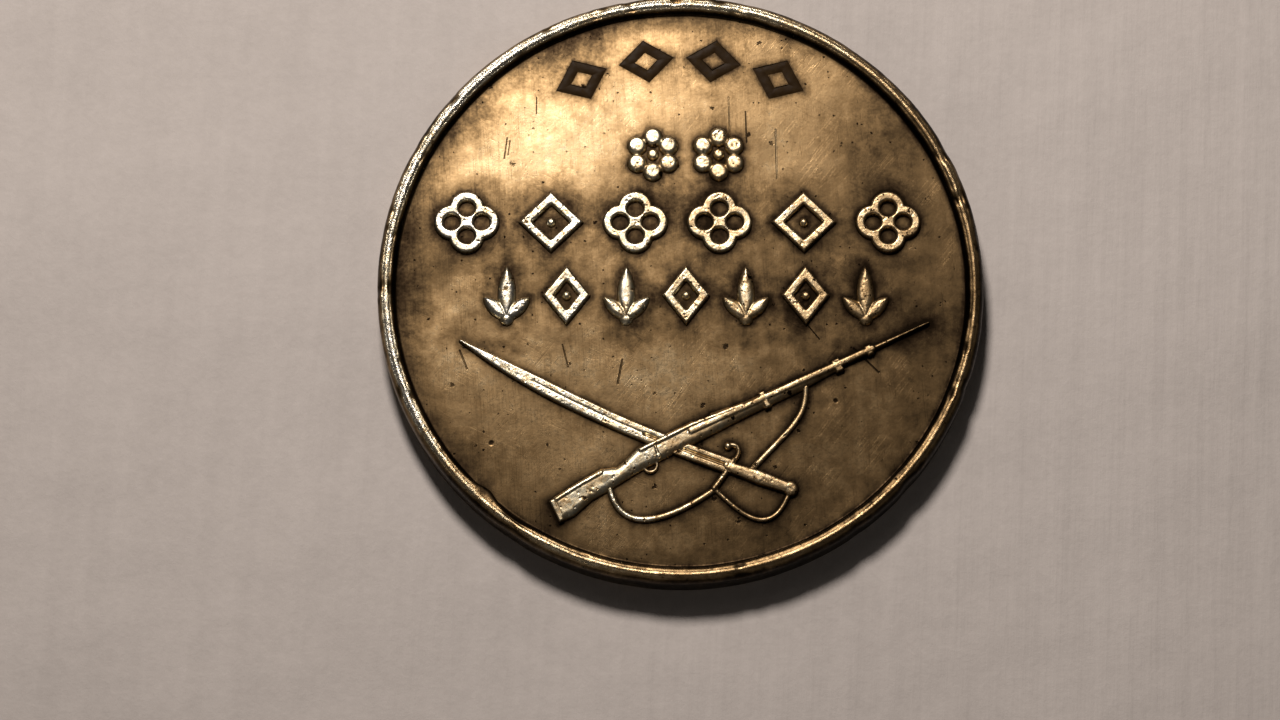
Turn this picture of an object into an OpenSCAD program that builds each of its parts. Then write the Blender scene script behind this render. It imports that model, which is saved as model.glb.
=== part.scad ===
// A round struck medal that lies on its back: a planchet with a raised rim, an arc of
// enamel-filled lozenges, three rows of raised ornaments, a crossed rifle and sabre, and
// an eye soldered to the rim that carries a loose ring for a ribbon or a hook.
// Millimetres. The origin is the centre of the plain reverse, +Z is out of the obverse,
// and +Y points to the eye.

/* [Planchet] */
// Diameter over the raised rim
medal_d = 32; // [26:0.2:40]
// Thickness at the raised rim
rim_t = 2.3; // [1.9:0.01:3]
// Width of the raised rim
rim_w = 0.9; // [0.7:0.01:1.3]
// Depth of the field below the top of the rim
field_depth = 0.5; // [0.4:0.01:0.8]
// Rounding of the rim's edges and of the edge round the reverse
edge_r = 0.25; // [0.1:0.01:0.3]

/* [Relief] */
// Height of the ornaments above the field
ornament_h = 0.3; // [0.15:0.01:0.4]
// Height of the rifle's barrel and of the sabre's grip above the field
arms_h = 0.4; // [0.25:0.01:0.5]
// Height of the rifle's stock, the bayonet and the sabre's blade above the field
stock_h = 0.3; // [0.2:0.01:0.36]
// Height of the sling, the guards and the knuckle bow above the field
strap_h = 0.2; // [0.1:0.01:0.24]
// Width of the sling's strap
strap_w = 0.36; // [0.25:0.01:0.5]
// Width of the outline of each raised ornament
ornament_stroke = 0.56; // [0.4:0.01:0.62]

/* [Enamel] */
// Width of the enamelled channel in each lozenge
cell_stroke = 0.56; // [0.45:0.01:0.7]
// Depth of the enamel cells below the field
cell_depth = 0.4; // [0.2:0.01:0.8]
// Distance of the enamel's surface below the field
enamel_drop = 0.05; // [0.02:0.01:0.1]

/* [Suspension] */
// Diameter of the ring's wire
wire_d = 0.8; // [0.6:0.01:1.1]
// Inside diameter of the ring
ring_id = 6.4; // [5.3:0.1:9]
// Width of the butted joint in the ring
ring_seam = 0.08; // [0.05:0.01:0.2]
// Clearance between the wire and the eye's bore
wire_clearance = 0.15; // [0.1:0.01:0.3]
// Wall of the eye's barrel
eye_wall = 0.4; // [0.3:0.01:0.6]
// Length of the eye's barrel from side to side
eye_w = 2; // [1.4:0.1:2.6]
// Gap between the eye's barrel and the rim
eye_stand = 0.35; // [0.3:0.01:0.8]
// Length of the eye's foot along the rim
foot_w = 3.4; // [3:0.1:5]
// Height of the eye's foot above the rim
foot_h = 0.35; // [0.25:0.01:0.45]
// Distance of the foot's faces from the rim's rounded edges
foot_inset = 0.1; // [0.05:0.01:0.3]
// Size of the solder fillet at each end of the foot
solder_r = 0.25; // [0.15:0.01:0.3]

/* [Hidden] */
$fn = 96;
through = 1; // how far a cut runs past the faces that it opens
eye_lift = 0.02; // air below the ring where it lies on the table

medal_r = medal_d / 2;
field_r = medal_r - rim_w;
field_t = rim_t - field_depth;

// The artwork is drawn for a field of this radius and reduced or enlarged to the field.
art_field_r = 15.1;
art = field_r / art_field_r;

// Ornament rows from the top down: how many, their pitch, size and middle on the field.
row_count = [2, 6, 7];
row_pitch = [3.5, 4.46, 3.15];
row_size = [[2.8, 3], [3.5, 3.4], [2.6, 3.3]];
row_x = [0.3, -0.15, 0.3];
row_y = [7.2, 3.45, -0.55];

// Enamel lozenges: how many, the arc that they lie on, and their half diagonals.
cell_count = 4;
cell_arc_r = 12.55;
cell_pitch_deg = 16.5;
cell_half = [1.5, 1.2];

// Rifle: where its butt lies, which way it points, and lengths along its barrel.
rifle_at = [-6.8, -11.54];
rifle_deg = 25.5;
fore_end = 16.9;
muzzle = 18.7;
bayonet_tip = 22;
barrel_v = 0.04;
barrel_w = 0.42;

// Sabre: where its guard lies, which way the blade points, and its blade.
guard_at = [2.5, -9.74];
sabre_deg = 154.4;
blade_len = 15.6;
blade_rise = 0.42;
blade_w = 0.86;
grip_to = [-3.4, -0.3];
guard_tip = [0.2, 1.4];

// Sling: the two stretches that show, as curves through four control points.
lower_sling = [[-3.7, -10.94], [-3.2, -13.14], [-1.2, -13.04], [1.8, -10.94]];
upper_sling = [[6.55, -5.44], [6.6, -7.34], [5.6, -7.74], [3.4, -10.24]];

// The wire bends inside the eye's straight bore, so the bore also clears that bend.
wire_r = wire_d / 2;
ring_r = ring_id / 2 + wire_r;
wire_bend = ring_r - sqrt(pow(ring_r, 2) - pow(eye_w / 2, 2));
wire_slant = asin(eye_w / 2 / ring_r);
bore_r = wire_r / cos(wire_slant) + wire_bend / 2 + wire_clearance;
eye_r = bore_r + eye_wall;
eye_y = medal_r + eye_stand + eye_r;
eye_z = max(rim_t / 2, eye_r);
foot_t = rim_t - 2 * (edge_r + foot_inset);
foot_z = rim_t / 2;

// The ring leans from the eye to the table.
ring_reach = 2 * ring_r - wire_bend / 2;
ring_lean = asin((eye_z - wire_r - eye_lift) / ring_reach);
seam_deg = 360 * ring_seam / (2 * PI * ring_r);

silver = [0.66, 0.60, 0.48];
worn_silver = [0.82, 0.77, 0.64];
dark_enamel = [0.13, 0.07, 0.05];

function numbered(name, count) = [for (i = [1:count]) str(name, "_", i)];

// ---- curves and straps ----

// Points on the cubic curve with control points p.
function curve(p, steps = 16) = [
    for (i = [0:steps])
        let (t = i / steps, s = 1 - t)
        s * s * s * p[0] + 3 * s * s * t * p[1] + 3 * s * t * t * p[2] + t * t * t * p[3]
];

// Sideways unit vector of the line through points p at point i.
function sideways(p, i) =
    let (d = p[min(i + 1, len(p) - 1)] - p[max(i - 1, 0)])
    [-d[1], d[0]] / norm(d);

// A strap along points p whose width is w at each point.
module strap(p, w) {
    left = [for (i = [0:len(p) - 1]) p[i] + sideways(p, i) * w[i] / 2];
    right = [for (i = [len(p) - 1:-1:0]) p[i] - sideways(p, i) * w[i] / 2];
    polygon(concat(left, right));
}

module even_strap(p, w) {
    strap(p, [for (i = [0:len(p) - 1]) w]);
}

module bar(x0, x1, y0, y1) {
    translate([x0, y0]) square([x1 - x0, y1 - y0]);
}

// Artwork raised on the field, h high.
module struck(h) {
    translate([0, 0, field_t]) linear_extrude(height = h) scale([art, art]) children();
}

// ---- ornaments ----

module lozenge(half) {
    polygon([[half[0], 0], [0, half[1]], [-half[0], 0], [0, -half[1]]]);
}

// A lozenge whose band is stroke wide.
module open_lozenge(half, stroke) {
    inner = 1 - stroke * norm(half) / (half[0] * half[1]);
    difference() {
        lozenge(half);
        lozenge(half * inner);
    }
}

module beaded_lozenge(size) {
    bead_r = 0.26;
    open_lozenge(size / 2, ornament_stroke);
    circle(r = bead_r);
}

// Four pierced lobes.
module quatrefoil(size) {
    lobe_r = size[1] * 0.28;
    reach = size / 2 - [lobe_r, lobe_r];
    places = [[reach[0], 0], [0, reach[1]], [-reach[0], 0], [0, -reach[1]]];
    difference() {
        union() for (p = places) translate(p) circle(r = lobe_r);
        for (p = places) translate(p) circle(r = lobe_r - ornament_stroke);
    }
}

// Six round petals about a boss.
module rosette(size) {
    petals = 6;
    petal_r = size[1] * 0.18;
    boss_r = petal_r * 0.6;
    ring = size[1] / 2 - petal_r;
    for (i = [0:petals - 1])
        rotate(360 / petals * i + 90) translate([ring, 0]) circle(r = petal_r);
    circle(r = boss_r);
}

// A pointed leaf from the origin along +Y: where two circles overlap.
module leaf(length, width) {
    r = (pow(length / 2, 2) + pow(width / 2, 2)) / width;
    off = r - width / 2;
    intersection() {
        translate([-off, length / 2]) circle(r = r);
        translate([off, length / 2]) circle(r = r);
    }
}

// Three leaves that spring from a round foot.
module palmette(size) {
    spread_deg = 46;
    foot_r = 0.4;
    root = -size[1] / 2 + foot_r;
    translate([0, root]) {
        circle(r = foot_r);
        leaf(size[1] - foot_r, 1);
        for (side = [-1, 1]) rotate(side * spread_deg) leaf(1.7, 0.8);
    }
}

module ornament(row, i) {
    size = row_size[row];
    odd = i % 2 == 1;
    color(worn_silver) struck(ornament_h)
        translate([row_x[row] + (i - (row_count[row] + 1) / 2) * row_pitch[row], row_y[row]]) {
            if (row == 0) rosette(size);
            if (row == 1 && (i == 1 || i == 3 || i == 4 || i == 6)) quatrefoil(size);
            if (row == 1 && (i == 2 || i == 5)) beaded_lozenge(size);
            if (row == 2 && odd) palmette(size);
            if (row == 2 && !odd) beaded_lozenge(size);
        }
}

// ---- enamel ----

module cell(i) {
    rotate(-(i - (cell_count + 1) / 2) * cell_pitch_deg) translate([0, cell_arc_r])
        open_lozenge(cell_half, cell_stroke);
}

module enamel_inlay(i) {
    color(dark_enamel) translate([0, 0, field_t - cell_depth])
        linear_extrude(height = cell_depth - enamel_drop) scale([art, art]) cell(i);
}

// ---- rifle ----

module on_rifle() {
    translate(rifle_at) rotate(rifle_deg) children();
}

// Butt, wrist, receiver and fore-end in one outline, from the butt along its top.
module stock_outline() {
    polygon([
        [0, 0.02], [1.6, 0.28], [3.1, 0.4], [3.85, 0.12], [4.2, 0.19], [5.3, 0.61],
        [8.5, 0.66], [8.7, 0.44], [9.3, 0.44], [9.5, 0.63], [11.4, 0.42], [fore_end, 0.27],
        [fore_end, -0.26], [14, -0.44], [11.4, -0.44], [9, -0.54], [5, -0.66], [4.2, -0.74],
        [2.8, -0.92], [2, -0.98], [0.8, -1.32], [-0.12, -1.32]
    ]);
}

module bayonet_outline() {
    root = barrel_w * 0.4;
    tip = barrel_w * 0.16;
    polygon([
        [muzzle - 0.6, barrel_v + root], [bayonet_tip, barrel_v + tip],
        [bayonet_tip, barrel_v - tip], [muzzle - 0.6, barrel_v - root]
    ]);
}

module barrel_outline() {
    bar(9.5, muzzle, barrel_v - barrel_w / 2, barrel_v + barrel_w / 2);
}

module bands_outline() {
    bar(12.2, 12.6, -0.5, 0.48);
    bar(fore_end - 0.5, fore_end, -0.38, 0.38);
    bar(muzzle - 0.4, muzzle, barrel_v - 0.3, barrel_v + 0.28);
}

module bolt_outline() {
    bar(5.6, 8.2, barrel_v, barrel_v + 0.38);
    translate([6.1, -0.3]) circle(r = 0.18);
    bar(6, 6.2, -0.3, barrel_v + 0.1);
}

module trigger_guard_outline() {
    difference() {
        translate([5.5, -0.56]) circle(r = 0.46);
        translate([5.5, -0.56]) circle(r = 0.26);
        bar(4.8, 6.2, -0.56, 0);
    }
}

module rifle_outline() {
    on_rifle() {
        stock_outline();
        bayonet_outline();
        barrel_outline();
        bands_outline();
        trigger_guard_outline();
    }
}

module rifle_relief() {
    band_h = (stock_h + arms_h) / 2;
    color(worn_silver) {
        struck(stock_h) on_rifle() {
            stock_outline();
            bayonet_outline();
        }
        struck(arms_h) on_rifle() {
            barrel_outline();
            bolt_outline();
        }
        struck(band_h) on_rifle() bands_outline();
        struck(strap_h) on_rifle() trigger_guard_outline();
    }
}

// ---- sabre ----

module on_sabre() {
    translate(guard_at) rotate(sabre_deg) children();
}

// The blade follows a shallow arc and narrows over its last third.
module blade_outline() {
    steps = 24;
    narrows_from = 0.62;
    line = [for (i = [0:steps]) let (t = i / steps) [t * blade_len, 4 * blade_rise * t * (1 - t)]];
    width = [
        for (i = [0:steps])
            let (t = i / steps, past = max(0, t - narrows_from) / (1 - narrows_from))
            blade_w * (1 - 0.82 * past * past)
    ];
    strap(line, width);
}

module grip_outline() {
    root_w = 0.62;
    end_w = 0.8;
    end_r = 0.42;
    strap([[0.1, 0.04], grip_to * 0.5, grip_to], [root_w, end_w, root_w]);
    translate(grip_to) circle(r = end_r);
}

module guard_outline() {
    curl_ball_r = 0.23;
    even_strap([guard_tip, [0, 0.4], [-0.1, -0.4]], strap_w);
    even_strap(curve([[-0.1, -0.3], [-0.4, -1.2], [0.3, -1.3], [0.5, -0.95]]), strap_w * 0.8);
    translate([0.5, -0.94]) circle(r = curl_ball_r);
}

module knuckle_bow_outline() {
    even_strap(curve([guard_tip, [-1.5, 1.95], [-3.8, 2.8], grip_to]), strap_w * 0.8);
}

module hilt_outline() {
    on_sabre() {
        grip_outline();
        guard_outline();
        knuckle_bow_outline();
    }
}

module sabre_blade_relief() {
    color(worn_silver) struck(stock_h) difference() {
        on_sabre() blade_outline();
        rifle_outline();
        hilt_outline();
    }
}

module sabre_hilt_relief() {
    color(worn_silver) {
        struck(arms_h) on_sabre() grip_outline();
        struck(stock_h) on_sabre() guard_outline();
        struck(strap_h) on_sabre() knuckle_bow_outline();
    }
}

// ---- sling ----

module sling_relief() {
    color(worn_silver) struck(strap_h) difference() {
        union() {
            even_strap(curve(lower_sling), strap_w);
            even_strap(curve(upper_sling), strap_w);
        }
        rifle_outline();
        hilt_outline();
    }
}

// ---- planchet ----

module planchet_profile() {
    square([medal_r - edge_r, field_t]);
    translate([field_r, edge_r]) square([rim_w, rim_t - 2 * edge_r]);
    translate([field_r + edge_r, 0]) square([rim_w - 2 * edge_r, rim_t]);
    for (p = [[field_r, rim_t - edge_r], [medal_r - 2 * edge_r, rim_t - edge_r], [medal_r - 2 * edge_r, edge_r]])
        translate(p + [edge_r, 0]) circle(r = edge_r);
}

module planchet() {
    color(silver) difference() {
        rotate_extrude() planchet_profile();
        for (i = [1:cell_count])
            translate([0, 0, field_t - cell_depth])
                linear_extrude(height = cell_depth + through) scale([art, art]) cell(i);
    }
}

// ---- suspension ----

// The foot follows the rim, and the neck joins it to the barrel.
module suspension_eye() {
    color(silver) difference() {
        union() {
            translate([0, eye_y, eye_z]) rotate([0, 90, 0])
                cylinder(r = eye_r, h = eye_w, center = true);
            translate([-eye_w / 2, 0, foot_z - foot_t / 2])
                cube([eye_w, eye_y, foot_t]);
            intersection() {
                cylinder(r = medal_r + foot_h, h = rim_t);
                translate([-foot_w / 2, 0, foot_z - foot_t / 2])
                    cube([foot_w, eye_y, foot_t]);
            }
        }
        translate([0, 0, -through]) cylinder(r = medal_r, h = rim_t + 2 * through);
        translate([0, eye_y, eye_z]) rotate([0, 90, 0])
            cylinder(r = bore_r, h = eye_w + 2 * through, center = true);
    }
}

// A hollow fillet in the corner between each end of the foot and the rim.
module solder_outline() {
    corner_y = sqrt(pow(medal_r, 2) - pow(foot_w / 2, 2));
    sunk = solder_r / 2;
    difference() {
        translate([foot_w / 2, corner_y - sunk]) square([solder_r, solder_r + sunk]);
        translate([foot_w / 2 + solder_r, corner_y + solder_r]) circle(r = solder_r);
        circle(r = medal_r);
    }
}

module eye_solder() {
    color(worn_silver) translate([0, 0, foot_z - foot_t / 2]) for (side = [0, 1])
        mirror([side, 0, 0]) linear_extrude(height = foot_t) solder_outline();
}

module hanging_ring() {
    color(worn_silver) translate([0, eye_y, eye_z]) rotate([-ring_lean, 0, 0])
        translate([0, ring_r - wire_bend / 2, 0]) rotate(90 + seam_deg / 2)
            rotate_extrude(angle = 360 - seam_deg) translate([ring_r, 0]) circle(r = wire_r);
}

// ---- nodes ----

planchet();
suspension_eye();
eye_solder();
hanging_ring();
for (i = [1:cell_count])
    enamel_inlay(i);
for (i = [1:row_count[0]])
    ornament(0, i);
for (i = [1:row_count[1]])
    ornament(1, i);
for (i = [1:row_count[2]])
    ornament(2, i);
rifle_relief();
sling_relief();
sabre_blade_relief();
sabre_hilt_relief();
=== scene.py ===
"""Dresses the struck medal: every piece's looks, the paper it lies on, the lights and the camera.

Sizes in the classes are millimetres in the medal's own frame: the origin is the centre of the
reverse, +Z points out of the obverse and +Y points to the suspension eye. Meshes are drawn in
millimetres and scaled to metres as they become pieces.
"""

import logging
import math
from dataclasses import dataclass, field
from enum import Enum
from typing import Iterable, Protocol, Sequence

import bmesh
import bpy
import numpy as np
from mathutils import Matrix, Vector


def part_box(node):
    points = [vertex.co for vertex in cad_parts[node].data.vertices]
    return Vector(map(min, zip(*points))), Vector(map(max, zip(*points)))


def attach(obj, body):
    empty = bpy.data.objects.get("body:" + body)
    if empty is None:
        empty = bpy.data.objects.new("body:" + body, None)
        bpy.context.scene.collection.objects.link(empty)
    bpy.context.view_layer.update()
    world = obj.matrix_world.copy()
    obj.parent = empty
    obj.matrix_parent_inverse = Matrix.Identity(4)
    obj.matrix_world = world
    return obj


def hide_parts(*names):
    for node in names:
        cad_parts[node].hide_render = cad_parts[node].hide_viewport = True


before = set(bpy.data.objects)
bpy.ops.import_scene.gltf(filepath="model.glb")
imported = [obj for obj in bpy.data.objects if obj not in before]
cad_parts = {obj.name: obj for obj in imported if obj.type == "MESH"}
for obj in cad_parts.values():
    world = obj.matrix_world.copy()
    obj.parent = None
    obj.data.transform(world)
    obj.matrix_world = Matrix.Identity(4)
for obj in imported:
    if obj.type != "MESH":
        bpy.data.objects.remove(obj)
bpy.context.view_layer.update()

MM = 0.001
LOG = logging.getLogger("medal")

Array = np.ndarray
Point = tuple[float, float]
Colour = tuple[float, float, float]
Socket = bpy.types.NodeSocket


class Body(Enum):
    """The two bodies that the joint divides the medal into."""

    MEDAL = "medal"
    RING = "ring"


class Slot(Enum):
    """The material slots of the record."""

    TONED = "toned_silver"
    WORN = "worn_silver"
    ENAMEL = "enamel"
    FITTING = "fitting_silver"
    SOLDER = "solder"
    RING = "ring_wire"


# ---- smooth random fields ----


@dataclass(frozen=True)
class Grain:
    """A smooth random field in space that is the same on every run.

    Attributes:
        seed: Picks the field.
        size: Width of its largest swells, in millimetres.
        octaves: How many times it is added to itself at half the size and half the strength.
    """

    seed: int
    size: float
    octaves: int = 3

    CELLS = 32

    def at(self, places: Array) -> Array:
        """Reads the field.

        Args:
            places: Points as rows of two or three coordinates.

        Returns:
            One value per point, about -1 to 1.
        """
        lattice = np.random.RandomState(self.seed).uniform(-1, 1, (self.CELLS,) * 3)
        if places.shape[1] == 2:
            places = np.column_stack([places, np.zeros(len(places))])
        total = np.zeros(len(places))
        scale, strength = 1 / self.size, 1.0
        for _ in range(self.octaves):
            total += strength * self._octave(lattice, places * scale + 7.3)
            scale, strength = scale * 2.03, strength * 0.5
        return total

    def _octave(self, lattice: Array, places: Array) -> Array:
        """Blends the lattice's values smoothly between its corners.

        Args:
            lattice: A cube of random values, repeated without end.
            places: Points in lattice cells.

        Returns:
            One value per point.
        """
        low = np.floor(places).astype(int)
        part = places - low
        part = part**3 * (part * (part * 6 - 15) + 10)
        found = np.zeros(len(places))
        for corner in np.ndindex(2, 2, 2):
            weight = np.prod(np.where(corner, part, 1 - part), axis=1)
            cell = (low + corner) % self.CELLS
            found += weight * lattice[cell[:, 0], cell[:, 1], cell[:, 2]]
        return found


def eased(value: Array, start: float, end: float) -> Array:
    """Rises smoothly from 0 at start to 1 at end.

    Args:
        value: What is compared with start and end.
        start: Where the rise begins.
        end: Where it is complete, which may be below start.

    Returns:
        Values from 0 to 1.
    """
    part = np.clip((value - start) / (end - start), 0, 1)
    return part * part * (3 - 2 * part)


# ---- flat shapes ----


class Shape(Protocol):
    """A flat shape that knows how deep inside its edge each point lies."""

    def depth(self, places: Array) -> Array:
        """Distance inside the edge, negative outside it."""

    def span(self) -> tuple[Array, Array]:
        """The lowest and the highest corner of the shape."""


@dataclass(frozen=True)
class Disc:
    """A round disc."""

    centre: Point
    radius: float

    def depth(self, places: Array) -> Array:
        """Distance inside the circle, negative outside it."""
        return self.radius - np.hypot(*(places - self.centre).T)

    def span(self) -> tuple[Array, Array]:
        """The lowest and the highest corner of the disc."""
        return np.array(self.centre) - self.radius, np.array(self.centre) + self.radius


@dataclass(frozen=True)
class Outline:
    """A closed outline with straight sides."""

    points: tuple[Point, ...]

    def depth(self, places: Array) -> Array:
        """Measures to the nearest side.

        Args:
            places: Points as rows of two coordinates.

        Returns:
            Distance inside the outline, negative outside it.
        """
        corners = np.array(self.points, float)
        nearest = np.full(len(places), np.inf)
        inside = np.zeros(len(places), bool)
        for start, end in zip(corners, np.roll(corners, -1, axis=0)):
            side, away = end - start, places - start
            along = np.clip(away @ side / (side @ side), 0, 1)
            nearest = np.minimum(nearest, ((away - along[:, None] * side) ** 2).sum(axis=1))
            if side[1]:
                level = (start[1] > places[:, 1]) != (end[1] > places[:, 1])
                inside ^= level & (away[:, 0] < away[:, 1] * side[0] / side[1])
        return np.where(inside, 1, -1) * np.sqrt(nearest)

    def span(self) -> tuple[Array, Array]:
        """The lowest and the highest corner of the outline."""
        return np.min(self.points, axis=0), np.max(self.points, axis=0)


@dataclass(frozen=True)
class Strap:
    """A line with a width at each of its points and with round ends."""

    line: tuple[Point, ...]
    widths: tuple[float, ...]

    def depth(self, places: Array) -> Array:
        """Measures to the nearest edge of the strap.

        Args:
            places: Points as rows of two coordinates.

        Returns:
            Distance inside the strap, negative outside it.
        """
        line = np.array(self.line, float)
        deepest = np.full(len(places), -np.inf)
        for i in range(len(line) - 1):
            step, away = line[i + 1] - line[i], places - line[i]
            along = np.clip(away @ step / (step @ step), 0, 1)
            half = (self.widths[i] + (self.widths[i + 1] - self.widths[i]) * along) / 2
            gap = np.hypot(*(away - along[:, None] * step).T)
            deepest = np.maximum(deepest, half - gap)
        return deepest

    def span(self) -> tuple[Array, Array]:
        """The lowest and the highest corner of the strap."""
        half = max(self.widths) / 2
        return np.min(self.line, axis=0) - half, np.max(self.line, axis=0) + half


@dataclass(frozen=True)
class Joined:
    """Several shapes as one."""

    shapes: tuple[Shape, ...]

    def depth(self, places: Array) -> Array:
        """Distance inside the nearest shape, negative outside them all."""
        return np.max([shape.depth(places) for shape in self.shapes], axis=0)

    def span(self) -> tuple[Array, Array]:
        """The lowest and the highest corner of them all."""
        spans = [shape.span() for shape in self.shapes]
        return np.min([low for low, _ in spans], axis=0), np.max([high for _, high in spans], axis=0)


@dataclass(frozen=True)
class Pierced:
    """A shape less another."""

    shape: Shape
    hole: Shape

    def depth(self, places: Array) -> Array:
        """Distance inside what is left, negative outside it."""
        return np.minimum(self.shape.depth(places), -self.hole.depth(places))

    def span(self) -> tuple[Array, Array]:
        """The lowest and the highest corner of the whole shape."""
        return self.shape.span()


@dataclass(frozen=True)
class Seat:
    """Where a drawing lies on the field: its origin and how far it is turned anticlockwise."""

    at: Point = (0.0, 0.0)
    degrees: float = 0.0

    @property
    def turn(self) -> Array:
        """The matrix whose rows are the drawing's own X and Y on the field."""
        angle = math.radians(self.degrees)
        return np.array([[math.cos(angle), math.sin(angle)], [-math.sin(angle), math.cos(angle)]])

    def onto_field(self, places: Array) -> Array:
        """Moves the drawing's points onto the field."""
        return places @ self.turn + self.at

    def from_field(self, places: Array) -> Array:
        """Moves points of the field into the drawing."""
        return (places - self.at) @ self.turn.T


def curve(controls: Sequence[Point], steps: int = 20) -> tuple[Point, ...]:
    """Draws a cubic curve.

    Args:
        controls: Its four control points.
        steps: How many straight steps it is drawn in.

    Returns:
        The points along it.
    """
    t = np.linspace(0, 1, steps + 1)[:, None]
    p = np.array(controls, float)
    line = (1 - t) ** 3 * p[0] + 3 * (1 - t) ** 2 * t * p[1] + 3 * (1 - t) * t**2 * p[2] + t**3 * p[3]
    return tuple(map(tuple, line))


def even(line: Sequence[Point], width: float) -> Strap:
    """A strap of one width along a line."""
    return Strap(tuple(line), (width,) * len(line))


def bar(low: Point, high: Point) -> Outline:
    """An upright rectangle between two corners."""
    return Outline((low, (high[0], low[1]), high, (low[0], high[1])))


# ---- meshes ----


@dataclass
class Sheet:
    """Points and faces of a mesh in millimetres, with named values at its points."""

    points: Array
    faces: list
    values: dict[str, Array] = field(default_factory=dict)

    def piece(self, name: str) -> bpy.types.Object:
        """Makes a smooth-shaded object of it, in metres, and links it to the scene.

        Args:
            name: Name of the object and of its mesh.

        Returns:
            The object.
        """
        mesh = bpy.data.meshes.new(name)
        mesh.from_pydata((self.points * MM).tolist(), [], self.faces)
        mesh.update()
        mesh.shade_smooth()
        made = bpy.data.objects.new(name, mesh)
        bpy.context.scene.collection.objects.link(made)
        for label, value in self.values.items():
            set_value(made, label, value)
        return made


def set_value(piece: bpy.types.Object, label: str, value: Array) -> None:
    """Stores one number per point of a piece.

    Args:
        piece: The object whose mesh takes the numbers.
        label: Name of the attribute, which materials read.
        value: One number per point.
    """
    store = piece.data.attributes.get(label) or piece.data.attributes.new(label, "FLOAT", "POINT")
    store.data.foreach_set("value", np.asarray(value, np.float32))


def points_of(piece: bpy.types.Object) -> Array:
    """Reads the points of a piece's mesh.

    Args:
        piece: The object.

    Returns:
        Its points in millimetres.
    """
    found = np.empty(len(piece.data.vertices) * 3, np.float32)
    piece.data.vertices.foreach_get("co", found)
    return found.reshape(-1, 3) / MM


def bake_modifiers(piece: bpy.types.Object) -> None:
    """Turns a piece's modifiers into its mesh.

    Args:
        piece: The object, which is left with no modifiers.
    """
    graph = bpy.context.evaluated_depsgraph_get()
    graph.update()
    made = bpy.data.meshes.new_from_object(piece.evaluated_get(graph))
    piece.modifiers.clear()
    old, piece.data = piece.data, made
    bpy.data.meshes.remove(old)


def dress(
    piece: bpy.types.Object,
    material: bpy.types.Material,
    body: Body,
    slot: Slot,
    nodes: Iterable[str] = (),
) -> None:
    """Gives a piece its material and its body, and lets it stand for CAD nodes.

    Args:
        piece: The object.
        material: Its only material.
        body: The body that it moves with.
        slot: The record's slot that its finish comes from; not used.
        nodes: The CAD nodes that it stands for.
    """
    piece.data.materials.clear()
    piece.data.materials.append(material)
    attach(piece, body.value)
    nodes = list(nodes)
    if nodes:
        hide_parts(*nodes)
    LOG.info("%s: %d faces, for %s", piece.name, len(piece.data.polygons), ", ".join(nodes) or "no node")


# ---- finishes ----


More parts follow.
